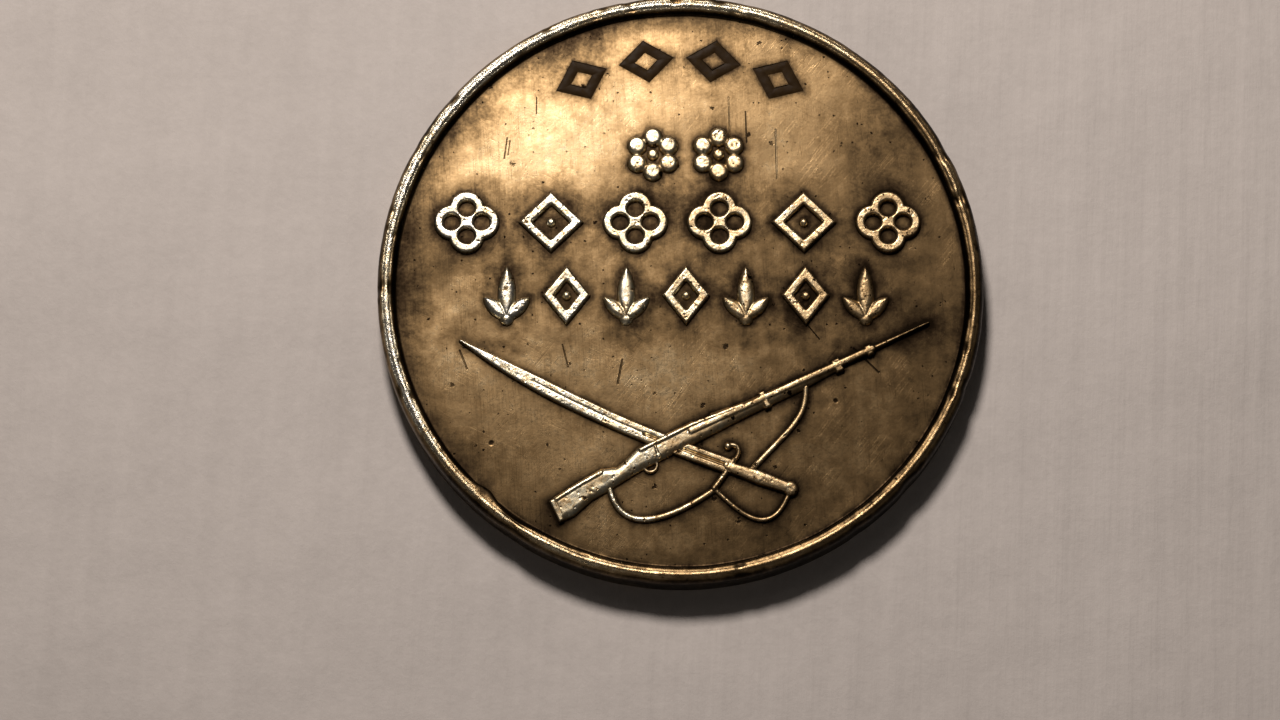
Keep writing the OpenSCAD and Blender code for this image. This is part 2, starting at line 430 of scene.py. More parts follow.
class Graph:
    """Builds one material's nodes in short calls."""

    def __init__(self, name: str) -> None:
        """Starts a material that holds one principled shader.

        Args:
            name: Name of the material.
        """
        self.material = bpy.data.materials.new(name)
        self.material.use_nodes = True
        self.tree = self.material.node_tree
        self.shader = self.tree.nodes["Principled BSDF"]
        self.space = self.tree.nodes.new("ShaderNodeTexCoord").outputs["Object"]

    def node(self, kind: str, inputs: dict, **settings) -> bpy.types.Node:
        """Adds a node.

        Args:
            kind: Its Blender type.
            inputs: Socket name or number to a value or to another node's output.
            **settings: Properties of the node.

        Returns:
            The node.
        """
        made = self.tree.nodes.new(kind)
        for key, value in settings.items():
            setattr(made, key, value)
        for key, value in inputs.items():
            if isinstance(value, Socket):
                self.tree.links.new(value, made.inputs[key])
            elif value is not None:
                made.inputs[key].default_value = value
        return made

    def math(self, operation: str, *values: Socket | float, clamp: bool = False) -> Socket:
        """Adds a math node and returns its output."""
        inputs = dict(enumerate(values))
        return self.node("ShaderNodeMath", inputs, operation=operation, use_clamp=clamp).outputs[0]

    def add(self, base: Socket | float, value: Socket, gain: float, middle: float = 0.0) -> Socket:
        """Adds a value's distance from its middle to a base.

        Args:
            base: What is added to.
            value: What is added.
            gain: How strongly it is added.
            middle: The value that changes nothing.

        Returns:
            The sum.
        """
        moved = self.math("SUBTRACT", value, middle) if middle else value
        return self.math("MULTIPLY_ADD", moved, gain, base)

    def vector(self, operation: str, first: Socket, second: Socket | tuple) -> Socket:
        """Adds a vector math node and returns its output."""
        return self.node("ShaderNodeVectorMath", {0: first, 1: second}, operation=operation).outputs[0]

    def value(self, label: str) -> Socket:
        """Reads a number stored at the mesh's points."""
        return self.node("ShaderNodeAttribute", {}, attribute_name=label).outputs["Fac"]

    def scaled(self, per_mm: Sequence[float], turn: float = 0.0) -> Socket:
        """Object coordinates turned about Z and counted in pattern cells.

        Args:
            per_mm: Cells per millimetre along X, Y and Z.
            turn: Degrees that the pattern is turned by, anticlockwise.

        Returns:
            The vector.
        """
        turned = self.node(
            "ShaderNodeVectorRotate",
            {"Vector": self.space, "Angle": -math.radians(turn)},
            rotation_type="Z_AXIS",
        ).outputs[0]
        return self.vector("MULTIPLY", turned, tuple(step / MM for step in per_mm))

    def noise(self, per_mm: float, detail: float = 3, rough: float = 0.5, offset: float = 0.0) -> Socket:
        """Cloudy noise in object space.

        Args:
            per_mm: Swells per millimetre.
            detail: Octaves.
            rough: Strength of each octave against the one before it.
            offset: Moves the pattern, in swells.

        Returns:
            The output, about 0.25 to 0.75.
        """
        place = self.scaled((per_mm,) * 3)
        if offset:
            place = self.vector("ADD", place, (offset,) * 3)
        inputs = {"Vector": place, "Scale": 1.0, "Detail": detail, "Roughness": rough}
        return self.node("ShaderNodeTexNoise", inputs).outputs["Fac"]

    def ramp(self, value: Socket, low: float, high: float, start: float = 0.0, end: float = 1.0) -> Socket:
        """Maps a value smoothly from low and high to start and end.

        Args:
            value: What is mapped.
            low: The value that becomes start.
            high: The value that becomes end.
            start: What is given at low and below.
            end: What is given at high and above.

        Returns:
            The mapped value.
        """
        inputs = {"Value": value, "From Min": low, "From Max": high, "To Min": start, "To Max": end}
        return self.node("ShaderNodeMapRange", inputs, interpolation_type="SMOOTHSTEP").outputs["Result"]

    def tint(self, value: Socket, stops: Sequence[tuple[float, Colour]]) -> Socket:
        """Maps a value to a colour through named stops.

        Args:
            value: What picks the colour, 0 to 1.
            stops: Places and their colours, in rising order.

        Returns:
            The colour.
        """
        made = self.node("ShaderNodeValToRGB", {"Fac": value})
        entries = made.color_ramp.elements
        while len(entries) < len(stops):
            entries.new(0.5)
        for entry, (place, colour) in zip(entries, stops):
            entry.position = place
            entry.color = (*colour, 1)
        return made.outputs["Color"]

    def near_line(self, start: Point, end: Point, width: float) -> Socket:
        """Marks the surface near a straight line in the medal's own X and Y.

        Args:
            start: One end, in millimetres.
            end: The other end.
            width: Width of the marked band.

        Returns:
            1 on the line, falling to 0 at the band's edges.
        """
        origin = (start[0] * MM, start[1] * MM, 0.0)
        run = ((end[0] - start[0]) * MM, (end[1] - start[1]) * MM, 0.0)
        away = self.vector("SUBTRACT", self.vector("MULTIPLY", self.space, (1.0, 1.0, 0.0)), origin)
        dot = self.node("ShaderNodeVectorMath", {0: away, 1: run}, operation="DOT_PRODUCT").outputs["Value"]
        along = self.math("DIVIDE", dot, max(run[0] ** 2 + run[1] ** 2, 1e-12), clamp=True)
        foot = self.node("ShaderNodeVectorMath", {0: run, "Scale": along}, operation="SCALE").outputs[0]
        gap = self.vector("SUBTRACT", away, foot)
        far = self.node("ShaderNodeVectorMath", {0: gap}, operation="LENGTH").outputs["Value"]
        return self.ramp(far, width * MM * 0.1, width * MM * 0.5, 1.0, 0.0)

    def bump(self, height: Socket, depth_mm: float, under: Socket | None = None) -> Socket:
        """Tilts the surface's normal by a height.

        Args:
            height: 0 to 1.
            depth_mm: The depth that a height of 1 stands for, in millimetres.
            under: A normal to add it to.

        Returns:
            The normal.
        """
        inputs = {"Height": height, "Distance": depth_mm * MM, "Strength": 1.0, "Normal": under}
        return self.node("ShaderNodeBump", inputs).outputs["Normal"]


@dataclass(frozen=True)
class Gouge:
    """A mark that something has left in the field.

    Attributes:
        start: One end, in millimetres from the medal's centre.
        end: The other end.
        width: Width of the mark.
        dirt: How dark it has become, 0 to 1.
    """

    start: Point
    end: Point
    width: float
    dirt: float = 0.5


FIELD_GOUGES = (
    Gouge((-9.9, -8.5), (-9.88, -8.46), 0.34, 0.5),
    Gouge((-9.2, 8.15), (-9.35, 7.0), 0.09, 0.4),
    Gouge((-9.05, 8.0), (-9.15, 7.2), 0.07, 0.3),
    Gouge((-7.65, 10.4), (-7.65, 9.5), 0.08, 0.35),
    Gouge((-3.05, -4.0), (-3.3, -5.3), 0.13, 0.35),
    Gouge((-6.2, -3.2), (-5.9, -4.4), 0.1, 0.25),
    Gouge((9.1, -3.4), (10.4, -4.7), 0.12, 0.3),
    Gouge((8.1, -6.2), (8.13, -6.24), 0.3, 0.45),
    Gouge((6.5, -1.9), (7.3, -2.9), 0.08, 0.3),
    Gouge((3.5, 9.6), (3.55, 7.9), 0.1, 0.25),
    Gouge((5.1, 8.6), (5.15, 5.9), 0.12, -0.12),
    Gouge((2.6, 10.4), (2.7, 6.4), 0.1, -0.1),
    Gouge((-11.6, -3.5), (-11.2, -4.5), 0.12, 0.25),
)


@dataclass(frozen=True)
class TonePatch:
    """A round place where the field's colour is made darker or lighter than round it.

    Attributes:
        centre: Its middle, in millimetres from the medal's centre.
        radius: How far it reaches.
        gain: How much darker it is, below 0 for a brighter place.
    """

    centre: Point
    radius: float
    gain: float


# Round patches where the field's colour is made darker or lighter.
FIELD_TONE_PATCHES = (
    TonePatch((-14.2, 1.5), 4.2, 0.2),
    TonePatch((-10.5, -9.0), 6.0, 0.12),
    TonePatch((10.8, 8.4), 6.0, 0.22),
    TonePatch((1.5, 11.5), 4.5, 0.18),
    TonePatch((-5.0, 12.5), 3.0, 0.08),
    TonePatch((2.5, 7.5), 3.0, 0.06),
    TonePatch((-12.5, 5.0), 2.5, 0.1),
    TonePatch((-11.0, -2.2), 3.6, -0.17),
    TonePatch((1.0, -3.8), 4.5, -0.08),
    TonePatch((13.5, -1.0), 4.0, 0.08),
    TonePatch((-6.6, -12.4), 1.6, 0.3),
)


@dataclass(frozen=True)
class Silver:
    """Old silver: a tarnish that runs from bright metal through gold and brown to black.

    Attributes:
        name: Name of the material.
        tarnish: Tarnish where nothing else adds to it or rubs it off, 0 to 1.
        grime_and_shade_gain: How much the mesh's grime and painted shade add.
        rub_and_sheen_gain: How much the mesh's rub and painted highlight take off.
        cloud: How much the tarnish wanders over several millimetres.
        mottle: How much it wanders over a fraction of a millimetre.
        roughness: Roughness of bright metal.
        dulling: How much rougher the darkest tarnish is.
        rub_dulling: How much rougher the rubbed places are, from countless fine scratches.
        rub_grain: Height of the grain that knocks have left on the rubbed places, in millimetres.
        blotches: How much tarnish is left in blotches on the rubbed places.
        specks: Share of the places that hold a dark speck.
        speck_tone: How much darker a speck is.
        grain_depth: Height of the fine grain, in millimetres.
        scratch: Strength of the scratches, 0 to 1.
        lean: How much darker the colour is painted towards +X and -Y, per millimetre: painted shade on the
            side away from the key lamp.
        gouges: Single marks.
        tone_patches: Single round places of darker or lighter colour.
    """

    name: str
    tarnish: float = 0.3
    grime_and_shade_gain: float = 0.6
    rub_and_sheen_gain: float = 0.4
    cloud: float = 0.25
    mottle: float = 0.2
    roughness: float = 0.3
    dulling: float = 0.2
    rub_dulling: float = 0.0
    rub_grain: float = 0.0
    blotches: float = 0.0
    specks: float = 0.12
    speck_tone: float = 0.4
    grain_depth: float = 0.004
    scratch: float = 0.5
    lean: tuple[float, float] = (0.0, 0.0)
    gouges: tuple[Gouge, ...] = ()
    tone_patches: tuple[TonePatch, ...] = ()

    STOPS = (
        (0.0, (0.86, 0.87, 0.79)),
        (0.13, (0.82, 0.77, 0.57)),
        (0.29, (0.59, 0.46, 0.27)),
        (0.46, (0.33, 0.235, 0.122)),
        (0.62, (0.16, 0.109, 0.053)),
        (0.76, (0.068, 0.047, 0.024)),
        (0.87, (0.03, 0.02, 0.011)),
        (1.0, (0.009, 0.006, 0.0034)),
    )
    TONE_SPAN = 0.8
    MARK_DEPTH = 0.018

    def scratches(self, graph: Graph, per_mm: tuple[float, float], turn: float, share: float) -> Socket:
        """Draws long thin scratches one way.

        Args:
            graph: The material's nodes.
            per_mm: Swells per millimetre across and along the scratches.
            turn: Their direction, in degrees from +Y.
            share: How much of the surface they cross, 0 to 1.

        Returns:
            1 in a scratch and 0 beside it.
        """
        place = graph.scaled((per_mm[0], per_mm[1], 1.0), turn)
        inputs = {"Vector": place, "Scale": 1.0, "Detail": 0.0, "Distortion": 0.25}
        swell = graph.node("ShaderNodeTexNoise", inputs).outputs["Fac"]
        off = graph.math("ABSOLUTE", graph.math("SUBTRACT", swell, 0.5))
        line = graph.ramp(off, 0.0, 0.018, 1.0, 0.0)
        patch = graph.noise(0.45, 2, 0.5, offset=turn)
        return graph.math("MULTIPLY", line, graph.ramp(patch, 0.62 - share * 0.3, 0.72 - share * 0.3))

    def dark_specks(self, graph: Graph, per_mm: float, offset: float) -> Socket:
        """Scatters ragged specks of different sizes.

        Args:
            graph: The material's nodes.
            per_mm: How close together they may lie.
            offset: Moves the pattern.

        Returns:
            1 in a speck and 0 beside it.
        """
        ragged = graph.node(
            "ShaderNodeTexNoise", {"Vector": graph.scaled((9.0,) * 3), "Scale": 1.0, "Detail": 3.0}
        ).outputs["Color"]
        bent = graph.node("ShaderNodeVectorMath", {0: ragged, "Scale": 0.5}, operation="SCALE").outputs[0]
        cells = graph.vector("ADD", graph.scaled((per_mm,) * 3), bent)
        moved = graph.vector("ADD", cells, (offset,) * 3)
        found = graph.node("ShaderNodeTexVoronoi", {"Vector": moved, "Scale": 1.0})
        colour = graph.node("ShaderNodeSeparateColor", {"Color": found.outputs["Color"]})
        size = graph.math("MULTIPLY_ADD", colour.outputs[1], 0.26, 0.04)
        spot = graph.math("SUBTRACT", 1.0, graph.math("DIVIDE", found.outputs["Distance"], size))
        chosen = graph.math("LESS_THAN", colour.outputs[0], self.specks)
        return graph.math("MULTIPLY", graph.ramp(spot, 0.0, 0.5), chosen)

    def patch(self, graph: Graph, tone_patch: TonePatch, ragged: Socket) -> Socket:
        """Shapes a round patch of darker or lighter colour with a ragged edge.

        Args:
            graph: The material's nodes.
            tone_patch: The patch.
            ragged: Noise that moves its edge.

        Returns:
            1 in its middle, falling to 0 at its edge.
        """
        centre = (tone_patch.centre[0] * MM, tone_patch.centre[1] * MM, 0.0)
        flat = graph.vector("MULTIPLY", graph.space, (1.0, 1.0, 0.0))
        away = graph.node("ShaderNodeVectorMath", {0: flat, 1: centre}, operation="DISTANCE")
        far = graph.math("MULTIPLY_ADD", away.outputs["Value"], 1 / (tone_patch.radius * MM), -0.5)
        far = graph.math("ADD", far, ragged)
        return graph.ramp(far, 0.25, 1.0, 1.0, 0.0)

    def tarnish_of(
        self, graph: Graph, specks: Socket, marks: Socket, fleck: Socket
    ) -> tuple[Socket, Socket]:
        """Adds up all that darkens or brightens the silver, painted shade and highlight among it.

        Args:
            graph: The material's nodes.
            specks: 1 in a dark speck.
            marks: 1 in a scratch.
            fleck: Fine noise.

        Returns:
            The tone, tarnish and painted shade and highlight together, 0 to 1, and how deep specks,
            scratches and gouges go, 0 to 1.
        """
        mottle = graph.noise(1.1, 7, 0.66, offset=3.1)
        streak_place = graph.scaled((2.6, 0.2, 1.0), 2.0)
        streaks = graph.node("ShaderNodeTexNoise", {"Vector": streak_place, "Scale": 1.0, "Detail": 3.0})
        tone = graph.add(self.tarnish, graph.noise(0.2, 5, 0.58), 2.6 * self.cloud, 0.5)
        tone = graph.add(tone, mottle, 2.4 * self.mottle, 0.5)
        tone = graph.add(tone, fleck, 1.2 * self.mottle, 0.5)
        tone = graph.add(tone, streaks.outputs["Fac"], 0.6 * self.mottle, 0.5)
        # Painted shade: the colour darkens towards +X and -Y, away from the key lamp.
        if any(self.lean):
            axes = graph.node("ShaderNodeSeparateXYZ", {"Vector": graph.space}).outputs
            tone = graph.add(tone, axes["X"], self.lean[0] / MM)
            tone = graph.add(tone, axes["Y"], -self.lean[1] / MM)
        for tone_patch in self.tone_patches:
            tone = graph.add(tone, self.patch(graph, tone_patch, mottle), tone_patch.gain)
        # The grime value carries patina and, on the disc, painted shade round the reliefs, painted shadow
        # inside the rim and a painted dark edge.
        tone = graph.add(tone, graph.value("grime_and_shade"), self.grime_and_shade_gain)
        # The rub value carries real wear and, on the rim's crest, a painted highlight towards the key lamp.
        rub_and_sheen = graph.value("rub_and_sheen")
        tone = graph.add(tone, rub_and_sheen, -self.rub_and_sheen_gain)
        blotch = graph.ramp(graph.noise(2.9, 6, 0.74, offset=5.5), 0.54, 0.68)
        tone = graph.add(tone, graph.math("MULTIPLY", blotch, rub_and_sheen), self.blotches)
        tone = graph.add(tone, specks, self.speck_tone)
        deep = graph.math("ADD", specks, graph.math("MULTIPLY", marks, 0.14 * self.scratch))
        for gouge in self.gouges:
            mark = graph.near_line(gouge.start, gouge.end, gouge.width)
            tone = graph.add(tone, mark, gouge.dirt)
            deep = graph.add(deep, mark, 1.0)
        tone = graph.math("MULTIPLY_ADD", marks, 0.12 * self.scratch, tone)
        return graph.math("MULTIPLY", tone, self.TONE_SPAN, clamp=True), deep

    def normal_of(self, graph: Graph, deep: Socket) -> Socket:
        """Roughens the surface with its marks, its grain and the grain of its rubbed places.

        Args:
            graph: The material's nodes.
            deep: How deep specks, scratches and gouges go, 0 to 1.

        Returns:
            The normal.
        """
        normal = graph.bump(graph.math("SUBTRACT", 1.0, deep), self.MARK_DEPTH)
        normal = graph.bump(graph.noise(5.0, 5, 0.66, offset=1.7), self.grain_depth, normal)
        if self.rub_grain:
            rough = graph.math("MULTIPLY", graph.noise(4.2, 6, 0.75, offset=6.1), graph.value("rub_and_sheen"))
            normal = graph.bump(rough, self.rub_grain, normal)
        return normal

    def build(self) -> bpy.types.Material:
        """Builds the material.

        Returns:
            The material, which reads the mesh's grime with its painted shade and its rub with its painted
            highlight.
        """
        graph = Graph(self.name)
        fleck = graph.noise(6.0, 4, 0.6, offset=9.4)
        large, small = self.dark_specks(graph, 1.6, 0.0), self.dark_specks(graph, 4.0, 17.0)
        specks = graph.math("MAXIMUM", large, small, clamp=True)
        along = self.scratches(graph, (7.0, 0.22), 4.0, 0.75)
        across = self.scratches(graph, (5.0, 0.16), -38.0, 0.45)
        steep = self.scratches(graph, (4.0, 0.3), 62.0, 0.35)
        marks = graph.math("MAXIMUM", along, graph.math("MAXIMUM", across, steep))
        tone, deep = self.tarnish_of(graph, specks, marks, fleck)
        shine = graph.add(self.roughness, tone, self.dulling / self.TONE_SPAN)
        shine = graph.add(shine, graph.value("rub_and_sheen"), self.rub_dulling)
        shine = graph.add(shine, fleck, 0.25, 0.5)
        shine = graph.math("MINIMUM", graph.math("MAXIMUM", shine, 0.12), 0.85)
        links, shader = graph.tree.links, graph.shader
        links.new(graph.tint(tone, self.STOPS), shader.inputs["Base Color"])
        links.new(shine, shader.inputs["Roughness"])
        links.new(self.normal_of(graph, deep), shader.inputs["Normal"])
        shader.inputs["Metallic"].default_value = 1.0
        return graph.material


TONED_FIELD = Silver(
    "toned_field",
    tarnish=0.555,
    grime_and_shade_gain=0.6,
    rub_and_sheen_gain=0.44,
    cloud=0.24,
    mottle=0.3,
    roughness=0.2,
    dulling=0.2,
    rub_dulling=0.06,
    rub_grain=0.05,
    blotches=0.6,
    # lean: painted shade on the field towards +X and -Y, away from the key lamp.
    lean=(0.0095, 0.007),
    gouges=FIELD_GOUGES,
    tone_patches=FIELD_TONE_PATCHES,
)
WORN_RELIEF = Silver(
    "worn_relief",
    tarnish=0.34,
    grime_and_shade_gain=0.66,
    rub_and_sheen_gain=0.12,
    rub_grain=0.02,
    blotches=0.6,
    cloud=0.16,
    mottle=0.42,
    specks=0.65,
    speck_tone=0.8,
    grain_depth=0.006,
    # lean: painted shade on the reliefs towards +X, away from the key lamp.
    lean=(0.02, 0.004),
)
FITTING_SILVER = Silver("fitting_silver", tarnish=0.36, cloud=0.16, mottle=0.28, roughness=0.26)
GREY_SOLDER = Silver("grey_solder", tarnish=0.42, cloud=0.1, mottle=0.3, roughness=0.38)
DRAWN_WIRE = Silver("drawn_wire", tarnish=0.3, cloud=0.2, mottle=0.3, roughness=0.26, scratch=0.7)


@dataclass(frozen=True)
class VitreousEnamel:
    """Dark fired enamel, slightly uneven and dusty."""

    name: str = "vitreous_enamel"
    colour: Colour = (0.024, 0.0125, 0.0028)
    bloom: Colour = (0.04, 0.024, 0.008)
    roughness: float = 0.42

    def build(self) -> bpy.types.Material:
        """Builds the material.

        Returns:
            The material.
        """
        graph = Graph(self.name)
        dust = graph.ramp(graph.noise(3.0, 5, 0.65), 0.45, 0.75)
        shine = graph.math("MULTIPLY_ADD", dust, 0.3, self.roughness)
        links, shader = graph.tree.links, graph.shader
        links.new(graph.tint(dust, ((0.0, self.colour), (1.0, self.bloom))), shader.inputs["Base Color"])
        links.new(shine, shader.inputs["Roughness"])
        links.new(graph.bump(graph.noise(2.2, 4, 0.6), 0.012), shader.inputs["Normal"])
        shader.inputs["Specular IOR Level"].default_value = 0.06
        return graph.material


@dataclass(frozen=True)
class Paper:
    """Plain pale paper with a faint felt and soft shallow creases."""

    name: str = "pale_paper"
    colour: Colour = (0.75, 0.734, 0.734)
    shade: Colour = (0.615, 0.6, 0.598)

    def build(self) -> bpy.types.Material:
        """Builds the material.

        Returns:
            The material.
        """
        graph = Graph(self.name)
        felt = graph.noise(1.6, 7, 0.7)
        soft = graph.noise(0.06, 3, 0.5, offset=2.0)
        fibre_place = graph.scaled((0.9, 0.05, 1.0), -3.0)
        fibres = graph.node("ShaderNodeTexNoise", {"Vector": fibre_place, "Scale": 1.0, "Detail": 4.0})
        laid = fibres.outputs["Fac"]
        mixed = graph.math("MULTIPLY_ADD", felt, 0.45, graph.math("MULTIPLY", soft, 0.3))
        mixed = graph.math("MULTIPLY_ADD", laid, 0.25, mixed)
        links, shader = graph.tree.links, graph.shader
        stops = ((0.3, self.shade), (0.7, self.colour))
        links.new(graph.tint(mixed, stops), shader.inputs["Base Color"])
        normal = graph.bump(felt, 0.04)
        normal = graph.bump(laid, 0.12, normal)
        links.new(graph.bump(soft, 0.9, normal), shader.inputs["Normal"])
        shader.inputs["Roughness"].default_value = 0.85
        return graph.material


# ---- relief ----


@dataclass(frozen=True)
class Layer:
    """One step of a relief: a flat shape raised to a height over a rounded shoulder."""

    shape: Shape
    height: float
    shoulder: float

    def lift(self, places: Array) -> Array:
        """Gives the layer's height.

        Args:
            places: Points in the drawing.

        Returns:
            Height above the field, 0 outside the shape.
        """
        part = np.clip(self.shape.depth(places) / self.shoulder, 0, 1)
        return self.height * np.sqrt(1 - (1 - part) ** 2)


@dataclass(frozen=True)
class Groove:
    """A channel sunk in a relief along a line, fading out towards the line's end."""

    line: tuple[Point, ...]
    width: float
    depth: float

    def cut(self, places: Array) -> Array:
        """Gives how deep the channel is.

        Args:
            places: Points in the drawing.

        Returns:
            Depth, 0 outside the channel.
        """
        inside = even(self.line, self.width).depth(places)
        return self.depth * eased(inside, 0.0, self.width / 2)


@dataclass(frozen=True)
class Relief:
    """A raised piece of the artwork, as the die struck it and as wear has left it.

    Attributes:
        node: The CAD node that it stands for.
        seat: Where its drawing lies on the field.
        layers: Its steps, of which the highest shows.
        grooves: Channels in them.
        hidden_by: A shape in the drawing that covers part of it.
        worn_to: Height that wear has brought its tops down to.
        seed: Picks its wear.
    """

    node: str
    seat: Seat
    layers: tuple[Layer, ...]
    grooves: tuple[Groove, ...] = ()
    hidden_by: Shape | None = None
    worn_to: float = 1.0
    seed: int = 0

    PITCH = 0.042
    SKIRT = 0.1
    BURIED = 0.14
    UNDERLAP = 0.16

    @property
    def whole(self) -> Joined:
        """The outline of all its layers."""
        return Joined(tuple(layer.shape for layer in self.layers))

    def gap(self, field_places: Array) -> Array:
        """Distance of points of the field from the piece's edge, 0 inside it."""
        return np.maximum(0, -self.whole.depth(self.seat.from_field(field_places)))

    def heights(self, places: Array, depth: Array) -> Array:
        """Works out the worn surface.

        Args:
            places: Points in the drawing.
            depth: How deep inside the outline each of them lies.

        Returns:
            Height above the field, below it outside the outline.
        """
        height = np.max([layer.lift(places) for layer in self.layers], axis=0)
        for groove in self.grooves:
            height = height - groove.cut(places)
        over = np.maximum(0, height - self.worn_to)
        height = height - 0.7 * over
        swell = Grain(self.seed, 0.9, 3).at(places + 50)
        fleck = Grain(self.seed + 1, 0.16, 2).at(places + 50)
        dig = np.clip(fleck - 0.62, 0, 1)
        height = height + np.where(height > 0, 0.014 * swell - 0.06 * dig, 0)
        return np.where(depth > 0, np.maximum(height, 0.0), depth * 1.2)

    def sheet(self, field_level: float) -> Sheet:
        """Draws the piece as a closed solid that is let into the field.

        Args:
            field_level: Height of the field above the reverse.

        Returns:
            The mesh with its rub and grime.
        """
        low, high = self.whole.span()
        count = np.ceil((high - low + 2 * self.SKIRT) / self.PITCH).astype(int) + 1
        xs = low[0] - self.SKIRT + self.PITCH * np.arange(count[0])
        ys = low[1] - self.SKIRT + self.PITCH * np.arange(count[1])
        places = np.stack(np.meshgrid(xs, ys), axis=-1).reshape(-1, 2)
        depth = self.whole.depth(places)
        keep = depth > -self.SKIRT
        if self.hidden_by is not None:
            keep &= self.hidden_by.depth(places) < self.UNDERLAP
        height = self.heights(places, depth)
        quads, used = solid_of(keep.reshape(count[1], count[0]))
        flat = self.seat.onto_field(places[used])
        top = np.column_stack([flat, field_level + height[used]])
        bottom = np.column_stack([flat, np.full(len(flat), field_level - self.BURIED)])
        tallest = max(layer.height for layer in self.layers)
        share = np.clip(height[used] / tallest, 0, 1)
        rub_and_sheen = eased(share, 0.45, 0.95)
        grime_and_shade = 1 - eased(share, 0.0, 0.5)
        return Sheet(
            np.concatenate([top, bottom]),
            quads,
            {"rub_and_sheen": np.concatenate([rub_and_sheen, 0 * rub_and_sheen]), "grime_and_shade": np.concatenate([grime_and_shade, 0 * grime_and_shade + 1])},
        )


def solid_of(keep: Array) -> tuple[list, Array]:
    """Closes a grid's kept points into a solid with a top, a bottom and walls.

    Args:
        keep: A grid of which points are kept.

    Returns:
        Faces over the kept points twice, the top's first, and the grid numbers of the kept points.
    """
    cell = keep[:-1, :-1] & keep[1:, :-1] & keep[:-1, 1:] & keep[1:, 1:]
    number = np.arange(keep.size).reshape(keep.shape)
    a, b, c, d = number[:-1, :-1], number[:-1, 1:], number[1:, 1:], number[1:, :-1]
    quads = np.stack([a, b, c, d], axis=-1)[cell]
    used = np.unique(quads)
    renumber = np.full(keep.size, -1)
    renumber[used] = np.arange(len(used))
    top = renumber[quads]
    count = len(used)
    framed = np.pad(cell, 1)
    walls = []
    for start, end, beside in (
        (a, b, framed[:-2, 1:-1]),
        (b, c, framed[1:-1, 2:]),
        (c, d, framed[2:, 1:-1]),
        (d, a, framed[1:-1, :-2]),
    ):
        open_side = cell & ~beside
        first, last = renumber[start[open_side]], renumber[end[open_side]]
        walls.append(np.stack([last, first, first + count, last + count], axis=-1))
    faces = np.concatenate([top, top[:, ::-1] + count, *walls])
    return faces.tolist(), used


# ---- ornaments ----


class Motif(Enum):
    """The drawings that the ornament rows are made of."""

    ROSETTE = "rosette"
    QUATREFOIL = "quatrefoil"
    LOZENGE = "lozenge"
    PALMETTE = "palmette"


@dataclass(frozen=True)
class OrnamentRow:
    """One row of raised ornaments.

    Attributes:
        node: Stem of the CAD nodes' names.
        middle: Middle of the row on the field.
        pitch: Distance from one ornament to the next.
        size: Width and height of an ornament.
        motifs: The ornaments from left to right.
        stroke: Width of an ornament's outline.
        relief: Height above the field.
    """

    node: str
    middle: Point
    pitch: float
    size: Point
    motifs: tuple[Motif, ...]
    stroke: float = 0.56
    relief: float = 0.3

    def lozenge(self) -> tuple[Layer, ...]:
        """A lozenge with a bead in it."""
        half = np.array(self.size) / 2
        inner = 1 - self.stroke * np.hypot(*half) / (half[0] * half[1])
        corners = np.array([[1, 0], [0, 1], [-1, 0], [0, -1]]) * half
        band = Pierced(Outline(tuple(map(tuple, corners))), Outline(tuple(map(tuple, corners * inner))))
        return self.raised(band), Layer(Disc((0, 0), 0.26), self.relief * 0.9, 0.24)

    def quatrefoil(self) -> tuple[Layer, ...]:
        """Four pierced lobes."""
        lobe = self.size[1] * 0.28
        reach = np.array(self.size) / 2 - lobe
        places = [(reach[0], 0), (0, reach[1]), (-reach[0], 0), (0, -reach[1])]
        lobes = Joined(tuple(Disc(tuple(place), lobe) for place in places))
        holes = Joined(tuple(Disc(tuple(place), lobe - self.stroke) for place in places))
        return (self.raised(Pierced(lobes, holes)),)

    def rosette(self) -> tuple[Layer, ...]:
        """Six petals about a boss."""
        petal = self.size[1] * 0.18
        ring = self.size[1] / 2 - petal
        turns = [math.radians(90 + 60 * i) for i in range(6)]
        petals = [Disc((ring * math.cos(turn), ring * math.sin(turn)), petal) for turn in turns]
        layers = [Layer(disc, self.relief, petal * 0.5) for disc in petals]
        return (*layers, Layer(Disc((0, 0), petal * 0.6), self.relief * 0.9, petal * 0.35))

    def palmette(self) -> tuple[Layer, ...]:
        """Three leaves from a round foot."""
        foot, spread = 0.4, math.radians(46)
        root = -self.size[1] / 2 + foot
        leaves = [((0.0, 1.0), self.size[1] - foot, 1.0)]
        leaves += [((side * math.sin(spread), math.cos(spread)), 1.7, 0.8) for side in (-1, 1)]
        layers = [Layer(Disc((0, root), foot), self.relief * 0.9, foot)]
        for (east, north), length, width in leaves:
            steps = np.linspace(0, 1, 13)
            line = tuple((east * length * t, root + north * length * t) for t in steps)
            widths = tuple(width * math.sin(math.pi * min(1.0, 0.06 + 0.94 * t)) ** 0.8 for t in steps)
            layers.append(Layer(Strap(line, widths), self.relief, width * 0.42))
        return tuple(layers)

    def raised(self, shape: Shape) -> Layer:
        """A layer with shoulders that leave a narrow flat on the stroke."""
        return Layer(shape, self.relief, self.stroke * 0.28)

    def reliefs(self) -> list[Relief]:
        """Draws the row.

        Returns:
            The ornaments from left to right.
        """
        drawings = {
            Motif.ROSETTE: self.rosette,
            Motif.QUATREFOIL: self.quatrefoil,
            Motif.LOZENGE: self.lozenge,
            Motif.PALMETTE: self.palmette,
        }
        made = []
        for i, motif in enumerate(self.motifs):
            across = self.middle[0] + (i - (len(self.motifs) - 1) / 2) * self.pitch
            layers = drawings[motif]()
            seed = 100 * len(self.motifs) + 7 * i
            made.append(Relief(f"{self.node}_{i + 1}", Seat((across, self.middle[1])), layers, seed=seed))
        return made


